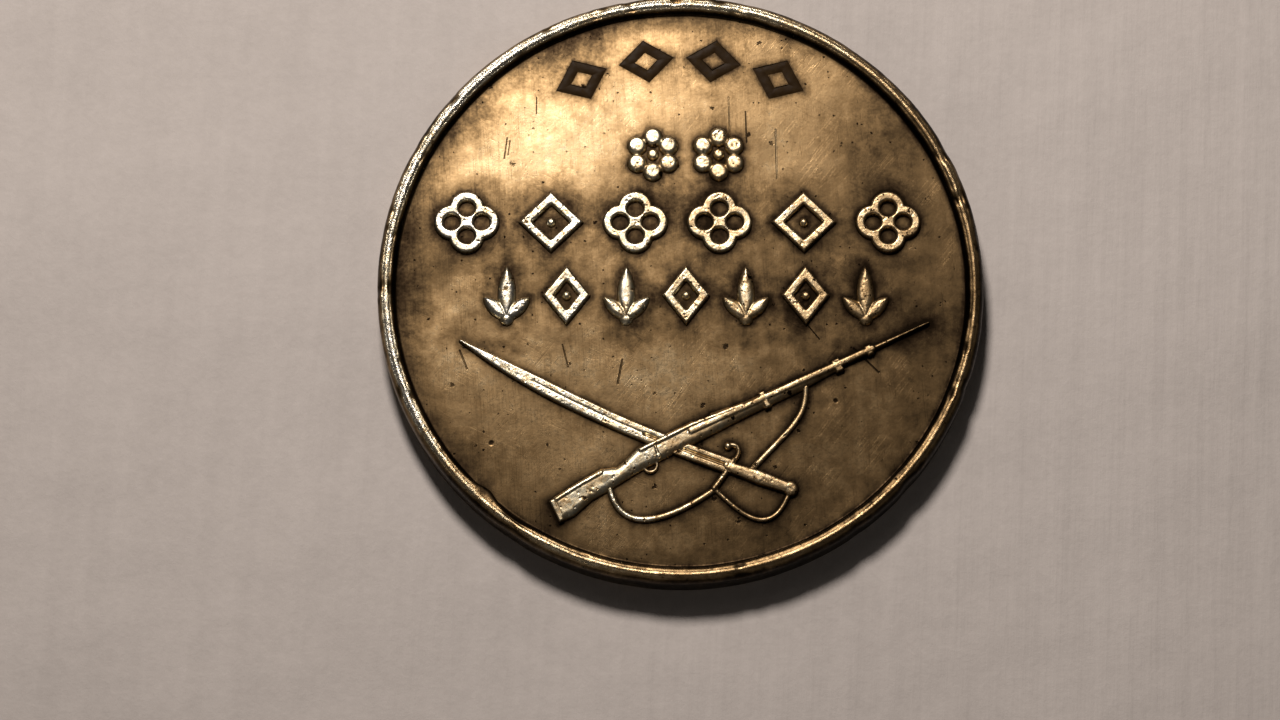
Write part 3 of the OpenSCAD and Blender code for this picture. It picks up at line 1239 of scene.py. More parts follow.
@dataclass(frozen=True)
class Ornaments:
    """The three rows of ornaments."""

    rows: tuple[OrnamentRow, ...] = (
        OrnamentRow("upper_ornament", (0.3, 7.2), 3.5, (2.8, 3.0), (Motif.ROSETTE,) * 2),
        OrnamentRow(
            "middle_ornament",
            (-0.15, 3.45),
            4.46,
            (3.5, 3.4),
            (Motif.QUATREFOIL, Motif.LOZENGE, Motif.QUATREFOIL) * 2,
        ),
        OrnamentRow(
            "lower_ornament",
            (0.3, -0.55),
            3.15,
            (2.6, 3.3),
            (Motif.PALMETTE, Motif.LOZENGE) * 3 + (Motif.PALMETTE,),
        ),
    )

    def reliefs(self) -> list[Relief]:
        """All the ornaments of all the rows."""
        return [relief for row in self.rows for relief in row.reliefs()]


# ---- crossed arms ----


@dataclass(frozen=True)
class Rifle:
    """The rifle with its fixed bayonet, drawn along its barrel from the butt."""

    seat: Seat = Seat((-6.8, -11.54), 25.5)
    stock_height: float = 0.3
    barrel_height: float = 0.42
    guard_height: float = 0.2
    barrel_width: float = 0.42
    barrel_level: float = 0.04
    fore_end: float = 16.9
    muzzle: float = 18.7
    tip: float = 22.0

    @property
    def stock(self) -> Outline:
        """Butt, wrist, receiver and fore-end in one outline."""
        over = ((0, 0.02), (1.6, 0.28), (3.1, 0.4), (3.85, 0.12), (4.2, 0.19), (5.3, 0.61))
        sight = ((8.5, 0.66), (8.7, 0.44), (9.3, 0.44), (9.5, 0.63), (11.4, 0.42), (self.fore_end, 0.27))
        under = ((self.fore_end, -0.26), (14, -0.44), (11.4, -0.44), (9, -0.54), (5, -0.66))
        butt = ((4.2, -0.74), (2.8, -0.92), (2, -0.98), (0.8, -1.32), (-0.12, -1.32))
        return Outline(over + sight + under + butt)

    @property
    def trigger_guard(self) -> Pierced:
        """The bow under the wrist."""
        centre = (5.5, -0.56)
        return Pierced(Disc(centre, 0.46), Disc(centre, 0.26))

    @property
    def outline(self) -> Joined:
        """Everything that covers what lies under the rifle."""
        barrel = even(((9.5, self.barrel_level), (self.muzzle, self.barrel_level)), self.barrel_width)
        return Joined((self.stock, barrel))

    def relief(self) -> Relief:
        """Draws the rifle.

        Returns:
            The relief.
        """
        level = self.barrel_level
        barrel = even(((8.2, level + 0.1), (self.muzzle, level)), self.barrel_width)
        bayonet = Strap(
            ((self.muzzle - 0.6, level), (self.tip, level)),
            (self.barrel_width * 0.8, self.barrel_width * 0.3),
        )
        ridge = even(((5.4, 0.36), (8.4, 0.42), (11.2, 0.22)), 0.3)
        comb = even(((0.3, -0.12), (1.7, 0.06), (3.0, 0.16)), 0.4)
        bands = [bar((12.2, -0.5), (12.6, 0.48)), bar((self.fore_end - 0.5, -0.38), (self.fore_end, 0.38))]
        bands.append(bar((self.muzzle - 0.4, level - 0.3), (self.muzzle, level + 0.28)))
        knob = Joined((Disc((6.1, -0.3), 0.18), even(((6.1, -0.3), (6.15, 0.2)), 0.2)))
        layers = [
            Layer(self.stock, self.stock_height, 0.42),
            Layer(barrel, self.barrel_height, 0.17),
            Layer(bayonet, self.stock_height, 0.12),
            Layer(ridge, self.barrel_height, 0.15),
            Layer(comb, self.stock_height + 0.05, 0.2),
            Layer(knob, self.barrel_height, 0.12),
            Layer(self.trigger_guard, self.guard_height, 0.09),
            Layer(bar((-0.1, -1.3), (0.25, 0.0)), self.stock_height, 0.1),
        ]
        layers += [Layer(band, self.barrel_height - 0.04, 0.12) for band in bands]
        return Relief("rifle_relief", self.seat, tuple(layers), worn_to=0.34, seed=11)


@dataclass(frozen=True)
class Sabre:
    """The sabre under the rifle, drawn from its guard along the blade."""

    rifle: Rifle
    seat: Seat = Seat((2.5, -9.74), 154.4)
    length: float = 15.6
    rise: float = 0.42
    width: float = 0.86
    blade_height: float = 0.3
    grip_height: float = 0.4
    bow_height: float = 0.2
    strap: float = 0.36
    pommel: Point = (-3.4, -0.3)
    guard_tip: Point = (0.2, 1.4)

    def spine(self, share: Array) -> tuple[Point, ...]:
        """Points of the blade's curved middle line at shares of its length."""
        return tuple(zip(share * self.length, 4 * self.rise * share * (1 - share)))

    def cover(self) -> Shape:
        """The rifle's outline in the sabre's drawing."""
        return SeenFrom(self.rifle.outline, self.rifle.seat, self.seat)

    def blade(self) -> Relief:
        """Draws the blade with its fuller.

        Returns:
            The relief.
        """
        share = np.linspace(0, 1, 25)
        past = np.clip(share - 0.62, 0, None) / 0.38
        widths = self.width * (1 - 0.82 * past**2)
        shape = Strap(self.spine(share), tuple(widths))
        fuller = Groove(self.spine(np.linspace(0.01, 0.3, 8)), 0.3, 0.16)
        shallow = Groove(self.spine(np.linspace(0.3, 0.72, 10)), 0.22, 0.05)
        layers = (Layer(shape, self.blade_height, 0.16),)
        return Relief(
            "sabre_blade_relief", self.seat, layers, (fuller, shallow), self.cover(), worn_to=0.27, seed=23
        )

    def hilt(self) -> Relief:
        """Draws the grip, the guard and the knuckle bow.

        Returns:
            The relief.
        """
        middle = (self.pommel[0] / 2, self.pommel[1] / 2)
        grip = Strap(((0.05, 0.04), middle, self.pommel), (0.6, 0.8, 0.62))
        guard = even((self.guard_tip, (0, 0.4), (-0.1, -0.4)), self.strap)
        quillon = even(curve(((-0.1, -0.3), (-0.4, -1.2), (0.3, -1.3), (0.5, -0.95))), self.strap * 0.8)
        bow = even(curve((self.guard_tip, (-1.5, 1.95), (-3.8, 2.8), self.pommel)), self.strap * 0.8)
        layers = (
            Layer(grip, self.grip_height, 0.3),
            Layer(Disc(self.pommel, 0.42), self.grip_height, 0.3),
            Layer(guard, self.blade_height, 0.16),
            Layer(quillon, self.blade_height * 0.8, 0.13),
            Layer(Disc((0.5, -0.94), 0.23), self.blade_height, 0.2),
            Layer(bow, self.bow_height, 0.13),
        )
        return Relief("sabre_hilt_relief", self.seat, layers, worn_to=0.3, seed=31)


@dataclass(frozen=True)
class SeenFrom:
    """A shape drawn in one seat, as it lies in another seat's drawing."""

    shape: Shape
    own: Seat
    other: Seat

    def depth(self, places: Array) -> Array:
        """Distance inside the edge, negative outside it."""
        return self.shape.depth(self.own.from_field(self.other.onto_field(places)))

    def span(self) -> tuple[Array, Array]:
        """The lowest and the highest corner of the shape's box."""
        low, high = self.shape.span()
        corners = np.array([(x, y) for x in (low[0], high[0]) for y in (low[1], high[1])])
        seen = self.other.from_field(self.own.onto_field(corners))
        return seen.min(axis=0), seen.max(axis=0)


@dataclass(frozen=True)
class Sling:
    """The two stretches of the rifle's sling that show."""

    rifle: Rifle
    hilt: Relief
    width: float = 0.36
    height: float = 0.2
    lower: tuple[Point, ...] = ((-3.7, -10.94), (-3.2, -13.14), (-1.2, -13.04), (1.8, -10.94))
    upper: tuple[Point, ...] = ((6.55, -5.44), (6.6, -7.34), (5.6, -7.74), (3.4, -10.24))

    def relief(self) -> Relief:
        """Draws both stretches.

        Returns:
            The relief.
        """
        level = Seat()
        straps = [even(curve(line), self.width) for line in (self.lower, self.upper)]
        layers = tuple(Layer(strap, self.height, 0.16) for strap in straps)
        cover = Joined(
            (
                SeenFrom(self.rifle.outline, self.rifle.seat, level),
                SeenFrom(self.hilt.whole, self.hilt.seat, level),
            )
        )
        return Relief("sling_relief", level, layers, hidden_by=cover, seed=41)


# ---- enamel ----


@dataclass(frozen=True)
class EnamelInlays:
    """The four enamelled lozenges on an arc under the rim."""

    count: int = 4
    arc: float = 12.55
    pitch: float = 16.5
    half: Point = (1.5, 1.2)
    stroke: float = 0.56
    depth: float = 0.36
    drop: float = 0.05
    per_side: int = 24
    across: int = 10

    @property
    def inner(self) -> float:
        """Size of the inner lozenge as a share of the outer one."""
        return 1 - self.stroke * math.hypot(*self.half) / (self.half[0] * self.half[1])

    @property
    def corners(self) -> Array:
        """Corners of the outer lozenge, anticlockwise from the right."""
        return np.array([[1, 0], [0, 1], [-1, 0], [0, -1]]) * self.half

    def seats(self) -> list[Seat]:
        """Where the lozenges lie, from left to right."""
        made = []
        for i in range(self.count):
            turn = -(i - (self.count - 1) / 2) * self.pitch
            angle = math.radians(turn)
            made.append(Seat((-self.arc * math.sin(angle), self.arc * math.cos(angle)), turn))
        return made

    def gap(self, seat: Seat, places: Array) -> Array:
        """Measures how far points of the field are from a lozenge's channel.

        Args:
            seat: Where the lozenge lies.
            places: Points of the field.

        Returns:
            Distance from the channel, 0 in it.
        """
        outer, inner = (Outline(tuple(map(tuple, self.corners * size))) for size in (1.0, self.inner))
        return np.maximum(0, -Pierced(outer, inner).depth(seat.from_field(places)))

    def loop(self) -> Array:
        """Points round the outer lozenge, anticlockwise."""
        part = np.arange(self.per_side)[:, None] / self.per_side
        sides = [a + (b - a) * part for a, b in zip(self.corners, np.roll(self.corners, -1, axis=0))]
        return np.concatenate(sides)

    def band(self, seat: Seat, shares: Array, levels: Array) -> Sheet:
        """Sweeps a closed section round a lozenge.

        Args:
            seat: Where the lozenge lies.
            shares: For each corner of the section, 0 on the outer lozenge to 1 on the inner one.
            levels: Height of each corner of the section.

        Returns:
            The closed ring.
        """
        loop = self.loop()
        scale = 1 - shares * (1 - self.inner)
        flat = seat.onto_field((loop[:, None, :] * scale[None, :, None]).reshape(-1, 2))
        points = np.column_stack([flat, np.tile(levels, len(loop))])
        return Sheet(points, swept_faces(len(loop), len(shares), closed=True))

    def cutters(self, level: float) -> list[Sheet]:
        """The channels as solids that are cut out of the field.

        Args:
            level: Height of the field above the reverse.

        Returns:
            One solid per lozenge.
        """
        shares = np.array([1.0, 0.0, 0.0, 1.0])
        levels = level + np.array([0.2, 0.2, -self.depth, -self.depth])
        return [self.band(seat, shares, levels) for seat in self.seats()]

    def build(self, level: float, material: bpy.types.Material) -> None:
        """Makes the enamel in its channels.

        Args:
            level: Height of the field above the reverse.
            material: The enamel.
        """
        steps = np.linspace(1, 0, self.across + 1)
        dome = -self.drop + 0.03 * (1 - (2 * steps - 1) ** 2)
        shares = np.concatenate([steps, [0.0, 1.0]])
        levels = level + np.concatenate([dome, [-self.depth] * 2])
        for i, seat in enumerate(self.seats()):
            sheet = self.band(seat, shares, levels)
            top = sheet.points[:, 2] > level - self.depth / 2
            sheet.points[top, 2] += 0.012 * Grain(60 + i, 0.5, 2).at(sheet.points[top])
            piece = sheet.piece(f"enamel_{i + 1}")
            piece.data.set_sharp_from_angle(angle=math.radians(50))
            dress(piece, material, Body.MEDAL, Slot.ENAMEL, [f"enamel_inlay_{i + 1}"])


def swept_faces(stations: int, corners: int, closed: bool) -> list:
    """Faces of a section swept round a closed loop.

    Args:
        stations: How many times the section is drawn round the loop.
        corners: Points in the section, in order.
        closed: Whether the section's last point joins its first.

    Returns:
        The quads over points numbered station by station.
    """
    station = np.arange(stations)[:, None]
    corner = np.arange(corners if closed else corners - 1)[None, :]
    after, beyond = (station + 1) % stations, (corner + 1) % corners
    a, b = station * corners + corner, after * corners + corner
    c, d = after * corners + beyond, station * corners + beyond
    return np.stack(np.broadcast_arrays(a, d, c, b), axis=-1).reshape(-1, 4).tolist()


# ---- planchet ----


@dataclass(frozen=True)
class Knock:
    """A dent in the rim.

    Attributes:
        degrees: Where it is, anticlockwise from +X.
        width: How long it is along the rim.
        inward: How far it pushes the rim's inner side over the field.
        down: How far it lowers the rim's crest.
        trim: How far it pushes the rim's outer side in.
    """

    degrees: float
    width: float
    inward: float = 0.0
    down: float = 0.0
    trim: float = 0.0


@dataclass(frozen=True)
class Planchet:
    """The struck disc: a slightly uneven field, a worn rim, a plain edge and a plain reverse.

    Attributes:
        reliefs: The raised pieces, whose feet hold patina and round which shade is painted on the field.
        enamel: The inlays, whose channels are cut into the field.
        rim_width: Width of the rim.
        field_drop: How far the field lies under the rim's crest.
        gutter: Radius of the fillet between the field and the rim.
        inner_round: Width of the rounding on the crest's inner side.
        inner_drop: Height of that rounding.
        crest_sag: How far the crest falls at either side of its middle.
        outer_round: Width of the rounding on the crest's outer side.
        outer_drop: Height of that rounding.
        foot_round: Radius of the edge round the reverse.
        lamp_side: Direction towards the key lamp, where the painted shadow inside the rim is heaviest and
            the crest is painted brightest.
        cells: Cells across the field's mesh.
        knocks: Dents in the rim.
    """

    reliefs: tuple[Relief, ...]
    enamel: EnamelInlays
    rim_width: float = 0.9
    field_drop: float = 0.5
    gutter: float = 0.16
    inner_round: float = 0.24
    inner_drop: float = 0.27
    crest_sag: float = 0.07
    outer_round: float = 0.32
    outer_drop: float = 0.43
    foot_round: float = 0.25
    lamp_side: tuple[float, float] = (-0.87, 0.5)
    cells: int = 192
    knocks: tuple[Knock, ...] = (
        Knock(228, 1.5, inward=0.26, down=0.05),
        Knock(236, 1.6, inward=-0.1, down=0.07, trim=0.1),
        Knock(318, 1.1, down=0.06, trim=0.16),
        Knock(305, 0.8, down=0.05, trim=0.1),
        Knock(340, 0.9, down=0.05, trim=0.12),
        Knock(262, 1.3, down=0.04, trim=0.06),
        Knock(152, 0.8, down=0.03, trim=0.05),
        Knock(28, 1.0, down=0.03, trim=0.08),
    )

    @property
    def radius(self) -> float:
        """Radius over the rim, from the CAD."""
        low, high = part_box("planchet")
        return (high[0] - low[0]) / 2 / MM

    @property
    def thickness(self) -> float:
        """Thickness at the rim, from the CAD."""
        low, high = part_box("planchet")
        return (high[2] - low[2]) / MM

    @property
    def level(self) -> float:
        """Height of the field above the reverse."""
        return self.thickness - self.field_drop

    def field_points(self, radius: float) -> Array:
        """Spreads a square grid evenly over the field's disc.

        Args:
            radius: Radius of the disc.

        Returns:
            The grid's points, row by row.
        """
        step = np.linspace(-1, 1, self.cells + 1)
        u, v = np.meshgrid(step, step)
        flat = np.abs(u) >= np.abs(v)
        reach = np.where(flat, u, v)
        ratio = np.divide(np.where(flat, v, u), reach, out=np.zeros_like(u), where=reach != 0)
        turn = np.where(flat, ratio, 2 - ratio) * math.pi / 4
        return radius * np.stack([reach * np.cos(turn), reach * np.sin(turn)], axis=-1).reshape(-1, 2)

    def border(self) -> Array:
        """Grid numbers round the field's edge, anticlockwise from the lower right corner."""
        n = self.cells
        number = np.arange((n + 1) ** 2).reshape(n + 1, n + 1)
        return np.concatenate([number[:-1, n], number[n, :0:-1], number[:0:-1, 0], number[0, :-1]])

    def section(self) -> Array:
        """The rim, the edge and the reverse in section, from the field outwards and down.

        Returns:
            Rows of radius, height and how much of the rim's wear reaches the point.
        """
        r, t, low = self.radius, self.thickness, self.level
        inner = r - self.rim_width
        rows = []
        for a in np.linspace(0, 90, 5)[1:]:
            a = math.radians(a)
            reach = self.gutter * math.sin(a)
            rows.append((inner - self.gutter + reach, low + self.gutter * (1 - math.cos(a)), 0.2))
        for a in np.linspace(0, 90, 8)[1:]:
            a = math.radians(a)
            reach = self.inner_round * (1 - math.cos(a))
            drop = self.crest_sag + self.inner_drop * (1 - math.sin(a))
            rows.append((inner + reach, t - drop, math.sin(a)))
        crest = self.rim_width - self.inner_round - self.outer_round
        for part in np.linspace(0, 1, 9)[1:]:
            reach, drop = self.inner_round + crest * part, self.crest_sag * (2 * part - 1) ** 2
            rows.append((inner + reach, t - drop, 1.0))
        for a in np.linspace(0, 90, 9)[1:]:
            a = math.radians(a)
            reach = self.outer_round * (1 - math.sin(a))
            drop = self.crest_sag + self.outer_drop * (1 - math.cos(a))
            rows.append((r - reach, t - drop, 1 - a / math.pi))
        shoulder = self.crest_sag + self.outer_drop
        for part in np.linspace(0, 1, 9)[1:]:
            rows.append((r, t - shoulder - (t - shoulder - self.foot_round) * part, 0.5 - 0.2 * part))
        for a in np.linspace(0, 90, 6)[1:]:
            a = math.radians(a)
            reach, rise = self.foot_round * (1 - math.cos(a)), self.foot_round * (1 - math.sin(a))
            rows.append((r - reach, rise, 0.3))
        for radius in (0.97, 0.93, 0.87, 0.79, 0.68, 0.55, 0.4, 0.25, 0.1):
            rows.append((r * radius, 0.0, 0.1))
        return np.array(rows)

    def worn_section(self, turns: Array) -> Array:
        """Draws the worn section at each turn round the rim.

        Args:
            turns: Angles round the medal, in radians.

        Returns:
            Points as an array of turns by rows by three coordinates.
        """
        rows = self.section()
        radius = np.tile(rows[:, 0], (len(turns), 1))
        height = np.tile(rows[:, 1], (len(turns), 1))
        wear = rows[:, 2][None, :]
        east, north = np.cos(turns)[:, None], np.sin(turns)[:, None]
        place = np.stack([radius * east, radius * north, height], axis=-1).reshape(-1, 3)
        swell = Grain(3, 2.6, 3).at(place).reshape(radius.shape)
        chip = Grain(4, 0.55, 3).at(place).reshape(radius.shape)
        nick = np.clip(Grain(5, 0.8, 2).at(place).reshape(radius.shape) - 0.45, 0, 1)
        height = height - wear * (0.012 * (1 + swell) + 0.01 * (1 + chip) + 0.1 * nick)
        outer = eased(radius, self.radius - 0.5, self.radius)
        radius = radius - outer * wear * (0.014 * (1 + swell) + 0.012 * (1 + chip) + 0.08 * nick)
        inside = eased(radius, self.radius - 0.55, self.radius - 0.95)
        edge = inside * eased(height, self.level, self.level + 0.2)
        radius = radius + edge * (0.035 * swell + 0.02 * chip)
        for knock in self.knocks:
            away = (turns - math.radians(knock.degrees) + math.pi) % (2 * math.pi) - math.pi
            near = np.exp(-((away * self.radius / (knock.width / 2)) ** 2))[:, None]
            height = height - knock.down * near * wear
            radius = radius - knock.inward * near * eased(height, self.level, self.level + 0.15) * inside
            radius = radius - knock.trim * near * outer * wear
        height = np.maximum(height, 0.0)
        return np.stack([radius * east, radius * north, height], axis=-1)

    def field_heights(self, flat: Array) -> Array:
        """The field's own gentle unevenness.

        Args:
            flat: Points of the field.

        Returns:
            Heights above the reverse.
        """
        out = np.hypot(*flat.T) / (self.radius - self.rim_width)
        dome = 0.05 * (1 - out**2)
        swell = 0.02 * Grain(8, 5.0, 2).at(flat) + 0.006 * Grain(9, 1.5, 2).at(flat)
        return self.level + dome + swell * eased(out, 1.0, 0.93)

    def sheet(self) -> Sheet:
        """Draws the whole disc as one closed solid.

        Returns:
            The mesh.
        """
        flat = self.field_points(self.radius - self.rim_width - self.gutter)
        crown = np.column_stack([flat, self.field_heights(flat)])
        crown[:, 2] = np.where(
            np.hypot(*flat.T) > self.radius - self.rim_width - self.gutter - 1e-6, self.level, crown[:, 2]
        )
        border = self.border()
        turns = np.arctan2(flat[border, 1], flat[border, 0])
        skirt = self.worn_section(turns)
        stations, rows = skirt.shape[:2]
        start = len(crown)
        number = np.arange((self.cells + 1) ** 2).reshape(self.cells + 1, -1)
        quads = np.stack([number[:-1, :-1], number[:-1, 1:], number[1:, 1:], number[1:, :-1]], axis=-1)
        faces = quads.reshape(-1, 4).tolist()
        after = np.roll(np.arange(stations), -1)
        first = start + np.arange(stations) * rows
        faces += np.stack([border, first, first[after], border[after]], axis=-1).tolist()
        outward = np.array(swept_faces(stations, rows, closed=False)) + start
        faces += outward.tolist()
        middle = start + stations * rows
        last = first + rows - 1
        faces += [[int(a), middle, int(b)] for a, b in zip(last, last[after])]
        points = np.concatenate([crown, skirt.reshape(-1, 3), [[0, 0, 0]]])
        return Sheet(points, faces)

    def build(self, material: bpy.types.Material) -> None:
        """Makes the disc, cuts the enamel's channels and marks its wear, its grime, its painted shade and
        its painted highlight.

        Args:
            material: The toned silver.
        """
        piece = self.sheet().piece("planchet_disc")
        cutters = [sheet.piece(f"cutter_{i}") for i, sheet in enumerate(self.enamel.cutters(self.level))]
        for cutter in cutters:
            cut = piece.modifiers.new(cutter.name, "BOOLEAN")
            cut.operation, cut.solver, cut.object = "DIFFERENCE", "MANIFOLD", cutter
        bake_modifiers(piece)
        for cutter in cutters:
            bpy.data.meshes.remove(cutter.data)
        piece.data.shade_smooth()
        piece.data.set_sharp_from_angle(angle=math.radians(42))
        self.mark(piece)
        dress(piece, material, Body.MEDAL, Slot.TONED, ["planchet"])

    def gap(self, flat: Array) -> Array:
        """Measures how far points of the field are from the nearest relief or channel.

        Args:
            flat: Points of the field.

        Returns:
            Distances, 0 at a relief and near 0 in a channel.
        """
        gaps = [relief.gap(flat) for relief in self.reliefs]
        gaps += [0.08 + self.enamel.gap(seat, flat) for seat in self.enamel.seats()]
        return np.min(gaps, axis=0)

    def field_patina_and_shade(self, flat: Array, wander: Array) -> Array:
        """Works out the patina round the reliefs and the painted shade round them and between the rows of
        ornaments, lighter towards +X.

        Args:
            flat: Points of the field.
            wander: Noise at the points.

        Returns:
            Patina and painted shade, 0 to about 1.
        """
        gap = self.gap(flat)
        mild = np.clip(wander, -1, 1)
        foot = np.exp(-gap / (0.16 * (1 + 0.4 * mild)))
        # Painted shade: a dark band across the ornament rows, wider round each relief and lighter towards
        # +X; foot is patina at the reliefs' feet.
        rows = eased(np.abs(flat[:, 1] - 1.2 + 0.5 * wander), 5.4, 4.2)
        shade = eased(gap, 2.7, 0.6) * rows * (0.5 + 0.5 * eased(flat[:, 0], 9.0, 1.0))
        shade = 0.4 * shade * (1 + 0.5 * mild) + 0.26 * np.exp(-gap / 0.8)
        return 0.75 * foot + shade

    def gutter_patina_and_shadow(self, away: Array, toward_lamp: Array, wander: Array) -> Array:
        """Works out the patina along the inside of the rim and the rim's painted shadow on the field,
        heaviest on the lamp side.

        Args:
            away: Distance of the points from the rim.
            toward_lamp: 1 on the side towards the key lamp and 0 across from it.
            wander: Noise at the points.

        Returns:
            Patina and painted shadow, 0 to 1.
        """
        # Painted shadow of the rim: core and haze grow wider and darker towards the key lamp; foot is
        # patina in the corner between field and rim.
        width = (0.35 + 1.15 * toward_lamp) * (1 + 0.4 * np.clip(wander, -1, 1))
        core = (0.45 + 0.55 * toward_lamp) * np.exp(-((away / width) ** 1.4))
        haze = (0.16 + 0.5 * toward_lamp) * np.exp(-away / 1.7)
        foot = 0.85 * np.exp(-((away / 0.25) ** 2))
        return np.max([core, haze, foot], axis=0)

    def mark(self, piece: bpy.types.Object) -> None:
        """Stores the disc's grime together with its painted shade and shadow, and its rubbed places
        together with the painted highlight on the crest.

        Args:
            piece: The disc.
        """
        places = points_of(piece)
        flat, height = places[:, :2], places[:, 2]
        out = np.hypot(*flat.T)
        top = self.thickness
        inner = self.radius - self.rim_width
        wander = Grain(12, 1.6, 3).at(places)
        # 1 on the key lamp's side of the disc and 0 across from it; the painted rim shadow and the crest's
        # painted highlight follow it.
        toward_lamp = eased(flat @ self.lamp_side / np.maximum(out, 0.1), -0.55, 0.9)
        grime_and_shade = self.gutter_patina_and_shadow(np.maximum(0, inner - out), toward_lamp, wander)
        grime_and_shade = grime_and_shade * eased(height, top, self.level + 0.25)
        face = (out < inner + 0.3) & (height > self.level - 0.2)
        grime_and_shade[face] = np.maximum(grime_and_shade[face], self.field_patina_and_shade(flat[face], wander[face]))
        grime_and_shade[~face] = 0.0
        reverse = eased(height, 0.4, 0.0)
        # The edge and the outer rounding are painted dark: tarnish plus painted shade, as little light
        # reaches the side wall.
        side = eased(height, top - 0.06, top - 0.2) * eased(out, self.radius - 0.38, self.radius - 0.22)
        tone = 0.72 + 0.22 * np.clip(Grain(13, 2.2, 4).at(places * [1, 1, 2.5]), -1, 1)
        set_value(piece, "grime_and_shade", np.clip(np.maximum(grime_and_shade, tone * side * (1 - reverse)), 0, 1))
        # Rubbed crest, painted brighter on the key lamp's side: real wear plus a painted highlight.
        crest = eased(height, top - 0.2, top - 0.08) * eased(out, inner, inner + 0.2)
        crest = crest * (0.55 + 0.45 * toward_lamp)
        set_value(piece, "rub_and_sheen", np.clip(np.maximum(crest, 0.35 * reverse), 0, 1))


# ---- suspension ----


@dataclass(frozen=True)
class Suspension:
    """The eye on the rim, its solder and the ring through it."""

    wire: float = 0.8
    ring_radius: float = 3.6
    seam: float = 0.08
    stations: int = 300
    corners: int = 28
    voxel: float = 0.035
    solder_voxel: float = 0.02

    def softened(self, node: str, name: str, voxel: float, rounds: int) -> bpy.types.Object:
        """Copies a CAD node with its edges worn round.

        Args:
            node: The CAD node.
            name: Name of the piece.
            voxel: Size of the mesh's cells, in millimetres.
            rounds: How many times it is smoothed.

        Returns:
            The piece.
        """
        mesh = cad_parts[node].data.copy()
        mesh.transform(Matrix.Scale(1 / MM, 4))
        piece = bpy.data.objects.new(name, mesh)
        bpy.context.scene.collection.objects.link(piece)
        remesh = piece.modifiers.new("cells", "REMESH")
        remesh.mode, remesh.voxel_size = "VOXEL", voxel
        smooth = piece.modifiers.new("wear", "SMOOTH")
        smooth.factor, smooth.iterations = 0.5, rounds
        bake_modifiers(piece)
        piece.data.transform(Matrix.Scale(MM, 4))
        piece.data.shade_smooth()
        return piece

    def mark(self, piece: bpy.types.Object, seed: int) -> None:
        """Marks the hollows of a small fitting as grimy and its edges as rubbed.

        Args:
            piece: The fitting.
            seed: Picks its wear.
        """
        work = bmesh.new()
        work.from_mesh(piece.data)
        hollow = []
        for vertex in work.verts:
            ring = [edge.other_vert(vertex).co for edge in vertex.link_edges]
            middle = sum(ring, Vector()) / max(1, len(ring))
            hollow.append((middle - vertex.co).dot(vertex.normal))
        work.free()
        hollow = np.array(hollow) / MM / self.voxel
        wander = Grain(seed, 0.9, 3).at(points_of(piece))
        grime_and_shade = eased(hollow, 0.0, 0.12) * 0.8 + 0.25 * np.clip(wander, 0, 1)
        set_value(piece, "grime_and_shade", np.clip(grime_and_shade, 0, 1))
        set_value(piece, "rub_and_sheen", eased(-hollow, 0.0, 0.1))

    def ring_sheet(self) -> Sheet:
        """Draws the ring as bent wire with a butted joint at its far end.

        Returns:
            The mesh in the medal's frame.
        """
        low, high = (np.array(corner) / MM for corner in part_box("hanging_ring"))
        centre, size = (low + high) / 2, high - low
        wire = self.wire / 2
        lean = math.asin((size[2] - self.wire) / (2 * self.ring_radius))
        half_seam = self.seam / 2 / self.ring_radius
        turns = math.pi / 2 + np.linspace(half_seam, 2 * math.pi - half_seam, self.stations)
        around = np.linspace(0, 2 * math.pi, self.corners, endpoint=False)
        from_end = np.minimum(turns - turns[0], turns[-1] - turns) * self.ring_radius
        nose = wire * (1 - 0.16 * np.clip(1 - from_end / 0.1, 0, 1) ** 2)[:, None]
        east, north = np.cos(turns)[:, None], np.sin(turns)[:, None]
        out, up = nose * np.cos(around), -nose * np.sin(around)
        outward = np.stack([out * east, out * north, up], axis=-1).reshape(-1, 3)
        middle = np.column_stack([self.ring_radius * east, self.ring_radius * north, 0 * east])
        points = np.repeat(middle, self.corners, axis=0) + outward
        dints = np.clip(Grain(72, 0.5, 2).at(points) - 0.6, 0, 1)
        worn = 0.012 * (1 + Grain(71, 1.4, 3).at(points)) + 0.03 * dints
        points = points - outward / wire * worn[:, None]
        turn = np.array(Matrix.Rotation(-lean, 3, "X"))
        points = points @ turn.T + centre
        faces = np.array(swept_faces(self.stations, self.corners, closed=True))
        faces = faces[: (self.stations - 1) * self.corners].tolist()
        first = list(range(self.corners))
        last = [(self.stations - 1) * self.corners + i for i in range(self.corners)]
        faces += [first[::-1], last]
        wander = Grain(73, 1.2, 3).at(points)
        return Sheet(points, faces, {"grime_and_shade": np.clip(0.3 * wander, 0, 1), "rub_and_sheen": eased(wander, -0.4, 0.5)})

    def build(self) -> None:
        """Makes the eye, the solder and the ring and dresses each in its own finish."""
        eye = self.softened("suspension_eye", "eye_barrel_and_foot", self.voxel, 6)
        self.mark(eye, 81)
        dress(eye, FITTING_SILVER.build(), Body.MEDAL, Slot.FITTING, ["suspension_eye"])
        fillets = self.softened("eye_solder", "eye_solder_fillets", self.solder_voxel, 4)
        self.mark(fillets, 82)
        dress(fillets, GREY_SOLDER.build(), Body.MEDAL, Slot.SOLDER, ["eye_solder"])
        ring = self.ring_sheet().piece("ring_of_wire")
        ring.data.set_sharp_from_angle(angle=math.radians(60))
        dress(ring, DRAWN_WIRE.build(), Body.RING, Slot.RING, ["hanging_ring"])


# ---- stage ----


